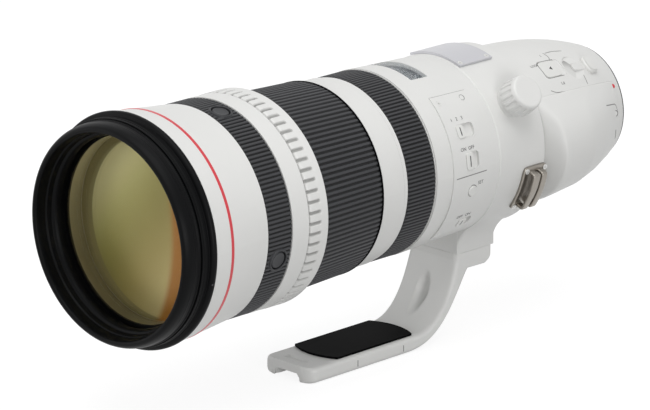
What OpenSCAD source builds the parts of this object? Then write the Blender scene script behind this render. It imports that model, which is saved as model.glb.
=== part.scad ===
// Super telephoto zoom lens with a built-in extender, a turning tripod collar and a foot.
// The optical axis runs along Y, the front looks towards -Y, and +Z is up.
// The origin is the centre of the seat face of the camera mount.
// A station is a distance forward of that face, measured along -Y.
// An angle of a place on the barrel is counted from +X towards +Z.

/* [Barrel lengths] */
// Length from the mount seat to the front face of the rear barrel
rear_l = 82; // [76:1:92]
// Room between rear barrel and fixed shell that the tripod collar turns in
collar_l = 40; // [38:1:48]
// Length of the fixed shell that carries switches and window
shell_l = 51.3; // [50:1:60]
// Room for the zoom ring
zoom_l = 42.9; // [40:1:60]
// Room for the focus ring
focus_l = 47.4; // [40:1:60]
// Room for the playback ring
play_l = 14.7; // [12:1:20]
// Length of the white sleeve in front of the playback ring
sleeve_l = 11.9; // [10:1:20]
// Length of the rubber band that carries the stop buttons
band_l = 18.1; // [17:1:24]
// Length of the flared front barrel
cone_l = 40.7; // [39:1:60]
// Length of the hood ring
hood_l = 8.5; // [8:0.5:12]
// Length of the front rim in front of the hood ring
rim_l = 10.5; // [9:0.5:14]

/* [Barrel radii] */
// Outer radius of the tube that carries zoom and focus ring
seat_r = 46.5; // [46:0.1:47]
// Step from that tube down to the tube inside the tripod collar
collar_step = 2.2; // [2:0.1:2.5]
// Wall of the tripod collar
collar_wall = 6.2; // [6:0.1:8]
// Chamfer across the rear edge of the collar
collar_chamfer = 3.5; // [3:0.1:4]
// Step from the tube inside the collar up to the rear barrel
rear_rise = 1.9; // [1.7:0.1:3]
// Width of the rear barrel's end round the mount seat
rear_lip_w = 2.1; // [2:0.1:3]
// Step from the ring tube up to the fixed shell at its rear
shell_rise = 3.9; // [3.8:0.1:5]
// Flare of the fixed shell
shell_flare = 2; // [1.5:0.1:3]
// Drop from the fixed shell to the rim of the zoom ring
zoom_drop = 0.4; // [0.2:0.1:0.8]
// Depth of the seat under the zoom rubber
zoom_grip_t = 1.4; // [1.3:0.1:2]
// Rise from the rim of the zoom ring to the front of its scale band
scale_rise = 0.6; // [0.5:0.1:1]
// Rise from the scale band to the focus rubber
focus_rise = 1.5; // [1:0.1:2]
// Flare of the focus rubber
focus_flare = 1.8; // [1:0.1:2.5]
// Thickness of the focus rubber at its rear
focus_grip_t = 1.3; // [1.2:0.1:2]
// Rise from the focus rubber to the playback ring
play_rise = 3.7; // [3:0.1:4.5]
// Drop from the playback ring to the white sleeve and the rubber band
sleeve_drop = 0.3; // [0:0.1:0.5]
// Width of the ledge that the objective elements sit behind
cell_ledge = 4.5; // [4.2:0.1:5]
// Step from the objective elements up to the front glass
front_seat = 4; // [3.8:0.1:4.5]
// Wall round the front glass
nose_wall = 5; // [4.8:0.1:6]
// Step from that wall up to the front edge of the front barrel
nose_step = 3.5; // [3:0.1:4]
// Rise from the front barrel to the rear edge of the hood ring
hood_lip = 0.5; // [0.3:0.1:1]
// Rise from the front barrel's nose to the front rim
rim_lip = 0.6; // [0.4:0.1:1]
// Width over which the front rim curls in to its crest
rim_curl = 3.5; // [3:0.1:4]

/* [Barrel walls] */
// Wall of the tubes that carry the rings
tube_wall = 2.5; // [2:0.1:2.6]
// Wall of the outer shells
skin = 2.2; // [2:0.1:2.5]
// Thickness of the bulkheads
bulkhead = 4; // [3:0.5:5]
// Running gap between a ring and its neighbours
gap = 0.3; // [0.25:0.05:0.4]
// Clearance between pieces that are fixed to each other
fit = 0.1; // [0.05:0.01:0.15]

/* [Camera mount] */
// Outer radius of the mount seat
mount_r = 32.5; // [32:0.1:33]
// Width of the raised seat land
land_w = 4.5; // [4:0.1:5]
// Thickness of the mount plate
mount_t = 4; // [3.5:0.1:5]
// Step from the seat land down to the inner plate
land_h = 0.5; // [0.3:0.1:0.8]
// Step from the seat land in to the bayonet spigot
spigot_in = 3; // [2.5:0.1:3.5]
// Wall of the bayonet spigot
spigot_wall = 3.2; // [3:0.1:3.5]
// Length of the spigot behind the seat
spigot_l = 4.3; // [4:0.1:5]
// Height of the three bayonet lugs
lug_out = 1.8; // [1.5:0.1:2]
// Thickness of a bayonet lug
lug_t = 1.6; // [1.2:0.1:2]
// Angle that a bayonet lug covers
lug_angle = 52; // [40:1:60]
// Radial width of the contact block
contact_w = 4.5; // [4:0.1:5]
// Angle that the contact block covers
contact_angle = 112; // [100:1:120]
// Number of contact pins
contact_count = 8; // [6:1:10]
// Radius of a contact pin
contact_pin_r = 0.9; // [0.7:0.05:1.1]
// Width of the rubber ring round the mount
gasket_w = 1.1; // [1:0.05:1.2]

/* [Extender housing] */
// Distance that the housing stands out past the rear barrel
pod_bulge = 10.8; // [9:0.1:12]
// Height of the largest housing section
pod_z = -5; // [-6:0.1:-4]
// Radius of the largest housing section
pod_r = 31.5; // [31:0.1:33]
// Distance of the largest housing section from the rear barrel's front face
pod_back = 8.5; // [8:0.5:10]
// Upper edge angle of the side cover
cover_top_angle = 33; // [31:0.5:34]
// Lower edge angle of the side cover
cover_bottom_angle = -66; // [-70:1:-60]

/* [Extender] */
// Sideways place of the parked extender, out from the middle of the housing
park_out = 6; // [5.5:0.1:6.5]
// Height of the parked extender below the middle of the housing
park_drop = 1; // [0.5:0.1:1.5]
// Distance of the swing pin below the line from park to axis
pin_drop = 27; // [26:0.1:28]
// Radius of the swing pin
pin_r = 2; // [1.8:0.1:2.5]
// Outer radius of the extender cell
ext_r = 17; // [16:0.1:17.5]
// Room between the rear lens and the extender cell
ext_gap = 14.5; // [13:0.5:16]
// Room between the extender cell and the bulkhead in front of it
ext_back = 5; // [4:0.5:7]
// Angle of the lever pivot on the barrel
lever_angle = 50; // [48:1:52]
// Station of the lever pivot
lever_s = 37; // [36:0.5:38]
// Length from the lever pivot to its thumb tab
lever_l = 16; // [15:0.5:20]
// Length of the lock slider
lock_l = 14; // [12:0.5:15]
// Width of the lock slider
lock_w = 11; // [10:0.5:12]
// Travel of the lock slider
lock_travel = 3.5; // [3:0.5:4]

/* [Filter drawer] */
// Distance of the filter drawer's round end from the edge of the rear barrel
drawer_rim = 7.6; // [7:0.1:9]
// Thickness of the filter drawer
drawer_t = 6; // [5.5:0.1:7]
// Rear station of the filter drawer
drawer_s = 11; // [10.5:0.1:12]
// Width of the drawer's rim round the drop-in filter
filter_rim = 2.5; // [2.2:0.1:3]
// Thickness of the drop-in filter
filter_t = 2.5; // [2:0.1:3]

/* [Switch panel] */
// Distance from the rear of the shell to the panel
panel_back = 8.3; // [8:0.1:10]
// Distance from the front of the shell to the panel
panel_inset = 13; // [12.5:0.1:14]
// Height of the panel above the shell
panel_h = 0.7; // [0.5:0.1:1]
// Upper edge angle of the panel
panel_top_angle = 50.5; // [48:0.5:52]
// Lower edge angle of the panel
panel_bottom_angle = -48; // [-50:0.5:-46]
// Depth of the switch pockets below the top of the panel
pocket_depth = 2; // [1.6:0.1:2.2]
// Width of a switch slider
slider_w = 7.4; // [6:0.1:8]
// Length of a switch slider
slider_l = 5.4; // [5:0.1:6]
// Travel of the three-place mode switch
mode_travel = 8; // [7:0.5:9]
// Travel of the two-place switches
two_travel = 4.6; // [4:0.1:5]
// Radius of the set button
set_r = 3.1; // [2.8:0.1:3.5]
// Travel of the set button
set_travel = 0.7; // [0.5:0.1:0.8]
// Lower edge angle of the distance window
window_from_angle = 68; // [66:1:72]
// Upper edge angle of the distance window
window_to_angle = 112; // [108:1:116]
// Length of the distance window
window_l = 13.5; // [12:0.5:15]

/* [Stop buttons] */
// Radius of a stop button
stop_r = 5; // [4.5:0.1:5.5]
// Height of a stop button above the rubber
stop_h = 0.6; // [0.4:0.1:1]
// Travel of a stop button
stop_travel = 0.8; // [0.6:0.1:1]
// Width of the rim round a stop button
stop_rim_w = 1.1; // [0.8:0.1:1.5]

/* [Tripod collar] */
// Half width of the collar block and of the foot
foot_half_w = 18.8; // [18:0.1:20]
// Height of the collar block below the collar
block_h = 9.2; // [8:0.1:11]
// Depth of the foot below the collar block
foot_drop = 49.1; // [46:0.1:52]
// Length of the foot's root under the collar block
foot_root_l = 30; // [29:0.5:31]
// Thickness of the foot bar
foot_t = 9.3; // [9:0.1:11]
// Length of the foot, from its rear root to its front end
foot_l = 144; // [136:1:150]
// Radius of the front corners of the foot
foot_corner_r = 9; // [6:0.5:12]
// Thickness of the rubber pad on the foot
pad_t = 1.2; // [1:0.1:1.5]
// Radius of the large threaded hole
thread_big_r = 4.76; // [4.7:0.01:4.8]
// Radius of the small threaded hole
thread_small_r = 3.175; // [3.1:0.005:3.2]
// Depth of the threaded holes
thread_l = 7.5; // [7:0.1:8]
// Width of the channel under the foot
channel_w = 18; // [16:0.5:20]
// Depth of the channel under the foot
channel_h = 4.4; // [4.2:0.1:5]
// Length of the channel under the foot
channel_l = 24; // [20:1:26]
// Angle of the lock knob
knob_angle = 34.5; // [33:0.5:36]
// Radius of the lock knob at its base
knob_r = 10.9; // [10:0.1:12]
// Radius of the face of the lock knob
knob_face_r = 9.5; // [9:0.1:10]
// Height of the knob
knob_h = 13; // [12:0.5:15]
// Radius of the knob's stud
stud_r = 3; // [2.5:0.1:3.5]
// Length of the strap lug
lug_l = 19; // [18:0.5:20]
// Upper edge angle of the strap lug
lug_top_angle = -8; // [-10:1:-6]
// Lower edge angle of the strap lug
lug_bottom_angle = -40; // [-42:1:-38]
// Room for the strap under the lug's bar
strap_gap = 4.6; // [4.4:0.1:5.5]
// Thickness of the lug's plate and bar
lug_plate = 1.6; // [1.4:0.1:2]
// Length of the name plate
plate_l = 25.9; // [24:0.1:27]
// Half angle of the name plate
plate_half_angle = 21.5; // [20:0.5:23]
// Thickness of the name plate
plate_t = 1.4; // [1:0.1:1.6]

/* [Inner works] */
// Wall of the guide tube
guide_wall = 2.6; // [2.4:0.1:3]
// Wall of the cam barrel
cam_wall = 2.9; // [2.6:0.1:3]
// Width of a cam slot
slot_w = 4; // [3:0.5:5]
// Length of the variator cell
var_l = 22; // [20:1:24]
// Room between the variator cell and the front end of the guide tube
guide_nose = 16.5; // [15:0.5:18]
// Travel of the variator cell
var_travel = 26; // [24:1:26]
// Length of the compensator cell
comp_l = 14; // [12:1:15]
// Room between the shell's rear wall and the compensator cell
comp_back = 9.5; // [9:0.5:11]
// Travel of the compensator cell
comp_travel = 10; // [8:1:12]
// Wall of a lens cell
cell_wall = 3; // [2.5:0.1:3.5]
// Length of the focus cell
fcell_l = 15; // [14:1:16]
// Room in front of the focus cell when it is fully forward
fcell_front = 9; // [8:0.5:10]
// Travel of the focus cell
fcell_travel = 12; // [10:1:12]
// Length of each motor ring
motor_l = 6; // [5:0.5:6]
// Radial thickness of the motor rings
motor_w = 3.4; // [3:0.1:3.6]
// Crown of the front glass
front_crown = 3; // [2:0.1:3.5]
// Step from the throat in to the rear glass
rear_glass_in = 4.4; // [4.4:0.1:5]
// Room between the stabilised lens and the bore round it
stab_room = 22.8; // [22:0.1:24]
// Travel of the stabilised lens, each way
stab_travel = 1; // [0.8:0.1:1.2]
// Length of the iris unit
iris_l = 11; // [10:1:12]
// Width of the ring round the open iris
iris_w = 19.8; // [18:0.1:21]

/* [Screws] */
// Radius of a small screw's head
screw_head_r = 1.5; // [1.3:0.1:1.7]
// Radius of a small screw's shank
screw_r = 0.9; // [0.8:0.05:1]
// Height of a small screw's head
screw_head_h = 0.9; // [0.7:0.1:1]
// Length of a small screw's shank
screw_l = 2; // [1.6:0.1:2.4]
// Radius of a foot screw's head
foot_head_r = 3.4; // [3:0.1:3.6]
// Length of a foot screw below its head
foot_screw_l = 15; // [12:0.5:16]

/* [Hidden] */
$fn = 96;
hull_fn = 64;
// Overrun of every cut past the face that it opens
over = 1;

// Stations along the axis, each the front end of the piece that it is named for
collar_s = rear_l + collar_l;
shell_s = collar_s + shell_l;
zoom_s = shell_s + zoom_l;
focus_s = zoom_s + focus_l;
play_s = focus_s + play_l;
sleeve_s = play_s + sleeve_l;
band_s = sleeve_s + band_l;
cone_s = band_s + cone_l;
hood_s = cone_s + hood_l;

// Radii of the barrels, built up from the tube that carries the rings
collar_seat_r = seat_r - collar_step;
collar_r = collar_seat_r + gap + collar_wall;
rear_r = collar_seat_r + rear_rise;
rear_end_r = mount_r + rear_lip_w;
shell_rear_r = seat_r + shell_rise;
shell_front_r = shell_rear_r + shell_flare;
zoom_grip_r = shell_front_r - zoom_drop;
zoom_core_r = zoom_grip_r - zoom_grip_t;
scale_front_r = zoom_grip_r + scale_rise;
focus_rear_r = scale_front_r + focus_rise;
focus_front_r = focus_rear_r + focus_flare;
focus_core_r = focus_rear_r - focus_grip_t;
play_r = focus_front_r + play_rise;
sleeve_r = play_r - sleeve_drop;

// Radii of the front end, built up from the band that carries the stop buttons
band_t = 1.7;
band_seat_r = sleeve_r - band_t;
front_in_r = band_seat_r - skin + fit;
objective_r = front_in_r - cell_ledge;
front_glass_r = objective_r + front_seat;
nose_r = front_glass_r + nose_wall;
cone_front_r = nose_r + nose_step;
hood_r = cone_front_r + hood_lip;
rim_r = nose_r + rim_lip;

// Radii of the camera mount, built in from its seat
land_r = mount_r - land_w;
mount_screw_pcr = (mount_r + land_r) / 2;
spigot_r = land_r - spigot_in;
lug_r = spigot_r + lug_out;
throat_r = spigot_r - spigot_wall;
contact_r = throat_r - fit - contact_w;
rear_glass_r = throat_r - rear_glass_in;

// Curved outlines of the barrels, as functions of the station
rear_lip_s = mount_t / 2;
rear_curve_share = 2.5;
rear_steps = 12;
function rear_station(i) = rear_lip_s + (rear_l - rear_lip_s) * i / rear_steps;
function rear_out(s) = rear_r
    - (rear_r - rear_end_r) * pow((rear_l - s) / (rear_l - rear_lip_s), rear_curve_share);
function shell_out(s) = shell_rear_r + (shell_front_r - shell_rear_r) * (s - collar_s) / shell_l;
function cone_out(s) = sleeve_r + (cone_front_r - sleeve_r) * (s - band_s) / cone_l;
function spread(from, to, share) = from + (to - from) * share;
function polar(r, a) = r * [cos(a), sin(a)];
function bezier(p, t) = p[0] * pow(1 - t, 3) + 3 * p[1] * t * pow(1 - t, 2)
    + 3 * p[2] * t * t * (1 - t) + p[3] * pow(t, 3);

// Extender housing: shares of its largest section's station, place and radius, from front to rear
pod_shares = [[1, 1, 1], [0.61, 0.785, 1.025], [0.38, 0.55, 1.035], [0.19, 0.235, 1.048], [0.055, 0, 1.1]];
// Height of the side cover above the rear barrel at its edges
cover_h = 0.45;
cover_s = mount_t + bulkhead + over;
cover_screw_l = 3;
cover_screw_angle = 4.5;
pod_x = rear_r + pod_bulge - pod_r;
pod_s = rear_l - pod_back;

// Extender lens, parked beside the axis behind the front bulkhead
park_x = pod_x + park_out;
park_z = pod_z - park_drop;
drawer_r = rear_end_r - drawer_rim;
filter_r = drawer_r - filter_rim;
rear_lens_s = drawer_s + drawer_t + bulkhead + over;
rear_lens_l = 8.5;
ext_s = rear_lens_s + rear_lens_l + ext_gap;
ext_l = rear_l - bulkhead - ext_back - ext_s;

// Swing pin of the extender, square to the middle of the line from park to axis
park_d = norm([park_x, park_z]);
pin_x = park_x / 2 + pin_drop * park_z / park_d;
pin_z = park_z / 2 - pin_drop * park_x / park_d;
pin_fit = 0.05;
pin_boss_w = 2.4;
ext_arm_t = 6;
ext_wall = 1.6;
// Both ends of each lens in the extender cell
extender_shares = [[0.1, 0.3], [0.4, 0.6], [0.7, 0.92]];

// Extender lever and its lock
dish_r = 8;
dish_h = 1.2;
lever_t = 1.7;
// Height of the lever's arm above the underside of its disc
lever_arm_h = 0.6;
lever_lift = 0.4;
lever_w = 6.5;
lever_tab_w = 12;
lever_tab_l = 6;
lever_tab_h = 3.6;
lock_angle = 52.5;
lock_proud = 0.7;
lock_floor = 1.3;

// Gap of a piece that slides in a pocket
slide_gap = 0.25;
proud = 0.35;
slider_corner = 2;
// Ribs on a slider: width across and length along, and width on the lock slider
rib_w_share = 0.8;
rib_l_share = 0.1;
lock_rib_share = 0.6;

// Filter drawer, lenses and circuit board
drawer_window = 2.5;
lens_steps = 8;
lens_crown = 0.5;
rear_shares = [[0, 0.3], [0.5, 0.8]];
// Both ends of a lens within its part of a cell
lens_shares = [0.1, 0.7];
board_t = 1.6;
board_lip = 1.6;
board_w = 16.2;

// Bores of the tubes that carry the rings
bore_r = seat_r - tube_wall;
collar_bore_r = collar_seat_r - tube_wall;
board_r = collar_bore_r - board_lip;
cam_room = 0.6;
guide_r = bore_r - cam_room - cam_wall - gap;
step_s = collar_s + tube_wall;
tube_nose = 1.7;
tube_s = play_s + tube_nose;

// Seats inside the front barrel
play_wall = 2.5;
play_seat_r = play_r - skin - over - gap;
cell_r = objective_r + gap;
cell_s = band_s + bulkhead;
cell_end_in = 1.7;
cell_end_s = cone_s - cell_end_in;
nose_t = 2;
rim_sleeve_l = 4.4;
rim_sleeve_s = hood_s - rim_sleeve_l;
crown_share = 0.4;
red_w = 1.8;
red_back = 12.3;
red_depth = 0.9;
red_proud = 0.1;

// Hood ring: its rear edge's chamfer, its seat above the front rim, and where its flange ends
hood_edge = 0.5;
hood_seat_h = 0.8;
hood_seat_r = rim_r + hood_seat_h;
hood_shares = [0.26, 0.36, 0.42];
// Front rim: width of its bore past the objective, and its outline across the curl and along the rim
rim_bore = 0.6;
rim_shares = [[0, 0.33], [0.26, 0.71], [0.51, 0.92], [1, 1], [1.4, 0.95], [1.57, 0.81]];

// Grips and bands on the rings
grip_l = 22.8;
scale_step = 3;
grip_edge = 0.5;
// Pads of the playback ring, parted by grooves that are open to the front
play_pads = 64;
pad_groove_w = 1.2;
pad_groove_h = 0.5;
pad_share = 0.35;
play_front_gap = 0.9;

// Switches: angle of each, and where the front end of its pocket is as a share of the panel
mode_angle = 25.5;
power_angle = 6.8;
set_angle = -12.7;
preset_angle = -37.5;
mode_share = 0.757;
power_share = 0.657;
preset_share = 0.523;
set_share = 0.457;
panel_screw_angle = 45.5;
panel_screw_share = 0.87;
panel_l = shell_l - panel_inset - panel_back;
panel_s = shell_s - panel_inset - panel_l;
power_w = 9.4;
preset_w = 6;
window_s = shell_s - panel_inset - window_l;
window_t = 1.6;
window_sink = 0.4;
scale_t = 1.8;
scale_margin = 2.5;

// Places on the tripod collar
collar_chamfer_l = 3.5;
collar_front_edge = 0.7;
knob_share = 0.575;
knob_s = rear_l + collar_l * knob_share;
boss_r = 8.6;
boss_h = 3.4;
knob_edge = 1;
knob_shares = [0.2, 0.88];
knob_flutes = 18;
flute_r = 1.5;
flute_h = 0.7;
flute_share = 0.75;
// Distance of the knob's stud from the tube inside the collar
stud_back = 5;
collar_edge_r = collar_r - collar_chamfer;
block_z = collar_r + block_h;
foot_z = block_z + foot_drop;
foot_s0 = collar_s - foot_root_l;
lug_s = rear_l + 2;
lug_post = 4;
lug_rim = 1.5;
plate_front = 1.2;
plate_s = collar_s - plate_front - plate_l;
// Distance of the collar's small screws from the edges of their plates, along and round
screw_in = 2.4;
screw_in_angle = 2.6;
foot_head_h = 3.2;
foot_screw_r = 2;
foot_screw_in = 7.3;
foot_screw_x = foot_half_w - foot_screw_in;
foot_screw_shares = [0.042, 0.108];

// Side view of the foot: corners as shares of its length and of its depth below the block
foot_root_shares = [[0, 0], [0, 0.122], [0.035, 0.218], [0.132, 0.218]];
foot_rear_shares = [[0.132, 0.218], [0.222, 0.57], [0.285, 1], [0.472, 1]];
foot_front_shares = [[0.424, 0], [0.285, 0], [0.236, 0.497], [0.21, 0.9]];
foot_steps = 12;
// Hollow in the front of the neck: its radius, and its centre by length and depth
hollow_r = 20;
hollow_shares = [0.361, 0.32];
pad_edge = 2.3;
pad_half_w = foot_half_w - pad_edge;
pad_shares = [0.41, 0.875];
hole_shares = [0.5, 0.75];
stop_s = (sleeve_s + band_s) / 2;
stop_angles = [75.5, 165.5, 255.5, -14.5];

// Objective elements: shares of the cell's length for both edges and both crowns
objective_shares = [[0.04, 0.2, -0.04, 0.03], [0.32, 0.48, 0.045, 0.04], [0.64, 0.82, 0.06, 0.11]];

// Cells and tubes inside the barrel
motor_gaps = 4;
fcell_s = tube_s - fcell_front - fcell_travel - fcell_l;
motor_s = fcell_s - 2 * motor_l - motor_gaps * gap;
guide_room = 4.3;
guide_l = motor_s - guide_room - step_s;
var_s = step_s + guide_l - guide_nose - var_l;
comp_s = step_s + comp_back;
moving_r = guide_r - guide_wall - gap;
cam_slant = 35;
slot_angles = [30, 150, 270];
slot_turn = 60;
stab_s = rear_l + bulkhead + skin;
iris_front = 2.8;
iris_s = collar_s - iris_front - iris_l;
stab_l = iris_s - bulkhead - stab_s;
stab_r = collar_bore_r - stab_room;
stab_shares = [0.41, 0.73];
iris_r = collar_bore_r - iris_w;
iris_shares = [0.45, 0.55];

// A turned piece, from a profile of radius and station pairs
module turned(profile) rotate([90, 0, 0]) rotate_extrude() polygon(profile);

// A plain tube between two stations
module tube(s0, s1, outer, inner) turned([[inner, s0], [outer, s0], [outer, s1], [inner, s1]]);

// A solid disc between two stations
module disc(s0, s1, r) turned([[0, s0], [r, s0], [r, s1], [0, s1]]);

// A round bar along the axis at a place beside it
module bar(x, z, s0, s1, r) translate([x, -s0, z]) rotate([90, 0, 0]) cylinder(h = s1 - s0, r = r);

// A wedge of space between two angles and two stations
module wedge(a0, a1, s0, s1, reach) translate([0, -s0, 0]) rotate([90, 0, 0])
    linear_extrude(s1 - s0) polygon(concat([[0, 0]], [for (i = [0:4]) polar(2 * reach, spread(a0, a1, i / 4))]));

// A curved plate on a barrel
module arc_plate(a0, a1, s0, s1, outer, inner) intersection() {
    tube(s0, s1, outer, inner);
    wedge(a0, a1, s0 - over, s1 + over, outer);
}

// Places a child on the barrel, its z pointing outwards and its y to the rear
module on_barrel(a, s, d) translate([0, -s, 0]) rotate([0, -a, 0]) translate([d, 0, 0])
    rotate([0, 90, 0]) children();

// A block that stands on zero, centred across and along the barrel
module block(across, along, high) translate([-across / 2, -along / 2, 0]) cube([across, along, high]);

// The same block with round corners
module round_block(across, along, high, r) {
    block(across - 2 * r, along, high);
    block(across, along - 2 * r, high);
    for (x = [-1, 1]) for (y = [-1, 1])
        translate([x * (across / 2 - r), y * (along / 2 - r), 0]) cylinder(h = high, r = r);
}

// A lens element whose two faces are crowned
module element(s0, s1, r, crown0, crown1) turned(concat(
    [for (i = [0:lens_steps]) [r * i / lens_steps, s0 - crown0 * (1 - pow(i / lens_steps, 2))]],
    [for (i = [lens_steps:-1:0]) [r * i / lens_steps, s1 + crown1 * (1 - pow(i / lens_steps, 2))]]));

// A small screw, its head standing at the given radius
module small_screw(a, s, d, long) on_barrel(a, s, d) {
    difference() {
        cylinder(h = screw_head_h, r = screw_head_r);
        for (turn = [0, 90]) rotate([0, 0, turn]) translate([0, 0, screw_head_h / 2])
            block(screw_head_r, screw_head_r / 4, screw_head_h);
    }
    translate([0, 0, -long]) cylinder(h = long, r = screw_r);
}

// The hole that a small screw stands in
module small_hole(a, s, d, long) on_barrel(a, s, d) {
    cylinder(h = screw_head_h + 2 * over, r = screw_head_r + fit);
    translate([0, 0, -long - fit]) cylinder(h = long + over, r = screw_r + fit);
}

// Place of the mount screws
module at_mount_screws() for (i = [0:3]) let (p = polar(mount_screw_pcr, 45 + 90 * i))
    translate([p[0], 0, p[1]]) rotate([90, 0, 0]) children();

module mount_flange() color("silver") difference() {
    union() {
        turned([[throat_r, -spigot_l], [spigot_r, -spigot_l], [spigot_r, land_h], [land_r, land_h],
            [land_r, 0], [mount_r, 0], [mount_r, mount_t], [throat_r, mount_t]]);
        for (i = [0:2]) let (a = 90 + 120 * i)
            arc_plate(a - lug_angle / 2, a + lug_angle / 2, -spigot_l + land_h, -spigot_l + land_h + lug_t,
                lug_r, spigot_r - over);
    }
    at_mount_screws() {
        translate([0, 0, -over]) cylinder(h = over + fit + screw_head_h + land_h, r = screw_head_r + fit);
        cylinder(h = mount_t + over, r = screw_r + fit);
    }
}

module contact_block() color("black") difference() {
    arc_plate(-90 - contact_angle / 2, -90 + contact_angle / 2, -spigot_l + over, mount_t,
        throat_r - fit, contact_r);
    contact_rods(pin_fit, over);
}

module contact_rods(grow, extra) for (i = [0:contact_count - 1])
    let (p = polar((contact_r + throat_r) / 2, -90 + contact_angle * ((i + 0.5) / contact_count - 0.5)))
        bar(p[0], p[1], -spigot_l + over - gap - extra, 0, contact_pin_r + grow);

module contact_pins() color("gold") contact_rods(0, 0);

module mount_gasket() color("black") tube(land_h, rear_lip_s, mount_r + gap + gasket_w, mount_r + gap);

// The rear barrel's turned body, drawn in by a wall and lengthened at both ends
module rear_body(wall, extra) turned(concat([[0, rear_lip_s - extra], [rear_end_r - wall, rear_lip_s - extra]],
    [for (i = [0:rear_steps]) [rear_out(rear_station(i)) - wall, rear_station(i)]],
    [[rear_r - wall, rear_l + extra], [0, rear_l + extra]]));

// The smooth body of the extender housing, drawn in by a wall
module pod(wall) hull() {
    for (p = pod_shares) let (s = pod_s * p[0]) {
        translate([pod_x * p[1], -s, pod_z * p[1]]) rotate([90, 0, 0])
            cylinder(h = fit, r = pod_r * p[2] - wall, $fn = hull_fn);
        translate([0, -s, 0]) rotate([90, 0, 0])
            cylinder(h = fit, r = rear_out(s) + cover_h - wall, $fn = hull_fn);
    }
    translate([0, -rear_l + fit, 0]) rotate([90, 0, 0])
        cylinder(h = fit, r = rear_r + cover_h - wall, $fn = hull_fn);
}

// Places of the side cover's screws: angle and station
function cover_screws() = [for (a = [cover_top_angle - cover_screw_angle, cover_bottom_angle + cover_screw_angle])
    for (s = [rear_l - bulkhead / 2, rear_lens_s + bulkhead]) [a, s]];

module rear_barrel() color("gainsboro") {
    difference() {
        union() {
            difference() {
                rear_body(0, 0);
                rear_body(skin, over);
            }
            intersection() {
                rear_body(skin / 2, 0);
                union() {
                    tube(mount_t, mount_t + bulkhead, rear_r, contact_r);
                    tube(rear_lens_s, rear_lens_s + rear_lens_l, rear_r, rear_glass_r + fit);
                    tube(rear_l - bulkhead, rear_l, rear_r, board_r + gap);
                }
            }
        }
        disc(rear_lip_s - over, mount_t, mount_r + fit);
        intersection() {
            wedge(cover_bottom_angle - fit, cover_top_angle + fit, cover_s - fit, rear_l + over, rear_r);
            difference() {
                disc(cover_s - over, rear_l + 2 * over, 2 * rear_r);
                rear_body(skin + fit, 3 * over);
            }
        }
        drawer_shape(slide_gap, over);
        on_barrel(lever_angle, lever_s, rear_out(lever_s) - dish_h) cylinder(h = dish_r, r = dish_r);
        on_barrel(lock_angle, lock_s(), rear_out(lock_s()) - lock_floor)
            round_block(lock_w + 2 * slide_gap, lock_l + lock_travel + 2 * slide_gap, dish_r,
                slider_corner + slide_gap);
        at_mount_screws() cylinder(h = mount_t + bulkhead - over, r = screw_r + fit);
        for (p = cover_screws()) small_hole(p[0], p[1], cover_seat(p[1]), cover_screw_l);
    }
    bar(pin_x, pin_z, rear_lens_s + rear_lens_l - over, ext_s + ext_l + pin_r, pin_r);
}

function cover_seat(s) = rear_out(s) + cover_h - screw_head_h;
function lock_s() = lever_s + dish_r + over + lock_l / 2 + lock_travel / 2;

module side_cover() color("gainsboro") difference() {
    intersection() {
        difference() {
            pod(0);
            pod(skin);
            disc(rear_l - 3 * skin, rear_l + over, rear_r - skin + cover_h / 2);
        }
        wedge(cover_bottom_angle, cover_top_angle, cover_s, rear_l, 2 * rear_r);
    }
    for (p = cover_screws()) small_hole(p[0], p[1], cover_seat(p[1]), cover_screw_l);
}

module barrel_screws() color("dimgray") {
    at_mount_screws() {
        translate([0, 0, fit]) cylinder(h = screw_head_h, r = screw_head_r);
        translate([0, 0, fit]) cylinder(h = mount_t + bulkhead / 2, r = screw_r);
    }
    for (p = cover_screws()) small_screw(p[0], p[1], cover_seat(p[1]), cover_screw_l);
    for (a = [-panel_screw_angle, panel_screw_angle])
        small_screw(a, panel_screw_s(), panel_seat(panel_screw_s()), screw_l);
}

function panel_screw_s() = panel_s + panel_l * panel_screw_share;
function panel_seat(s) = shell_out(s) + panel_h - screw_head_h;

module rear_glass() color("lightblue") for (i = [0, 1])
    element(rear_lens_s + fit + rear_lens_l * rear_shares[i][0], rear_lens_s + rear_lens_l * rear_shares[i][1],
        rear_glass_r, lens_crown, lens_crown);

module main_barrel() color("gainsboro") difference() {
    union() {
        turned([[collar_bore_r, rear_l], [collar_seat_r, rear_l], [collar_seat_r, collar_s],
            [shell_rear_r, collar_s], [shell_front_r, shell_s], [shell_front_r - skin, shell_s],
            [shell_rear_r - skin, step_s + skin], [seat_r, step_s + skin], [seat_r, tube_s], [bore_r, tube_s],
            [bore_r, step_s], [collar_bore_r, step_s]]);
        tube(rear_l, rear_l + skin, collar_seat_r - over, board_r - bulkhead);
    }
    arc_opening(window_from_angle, window_to_angle, window_s, window_s + window_l, shell_front_r + over,
        shell_rear_r - 2 * skin);
    switch_pockets();
}

// An opening through a shell, between two angles
module arc_opening(a0, a1, s0, s1, outer, inner) intersection() {
    tube(s0, s1, outer, inner);
    wedge(a0, a1, s0 - over, s1 + over, outer);
}

// Angle, front station, width, length and travel of each switch on the panel
function switches() = [
    [mode_angle, panel_s + panel_l * mode_share, slider_w, mode_travel],
    [power_angle, panel_s + panel_l * power_share, power_w, two_travel],
    [preset_angle, panel_s + panel_l * preset_share, preset_w, two_travel]];
function pocket_l(k) = slider_l + k[3] + 2 * slide_gap;
function pocket_d(k) = shell_out(k[1] - pocket_l(k) / 2) + panel_h - pocket_depth;
function set_s() = panel_s + panel_l * set_share;
function set_d() = shell_out(set_s()) + panel_h - pocket_depth;

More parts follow.
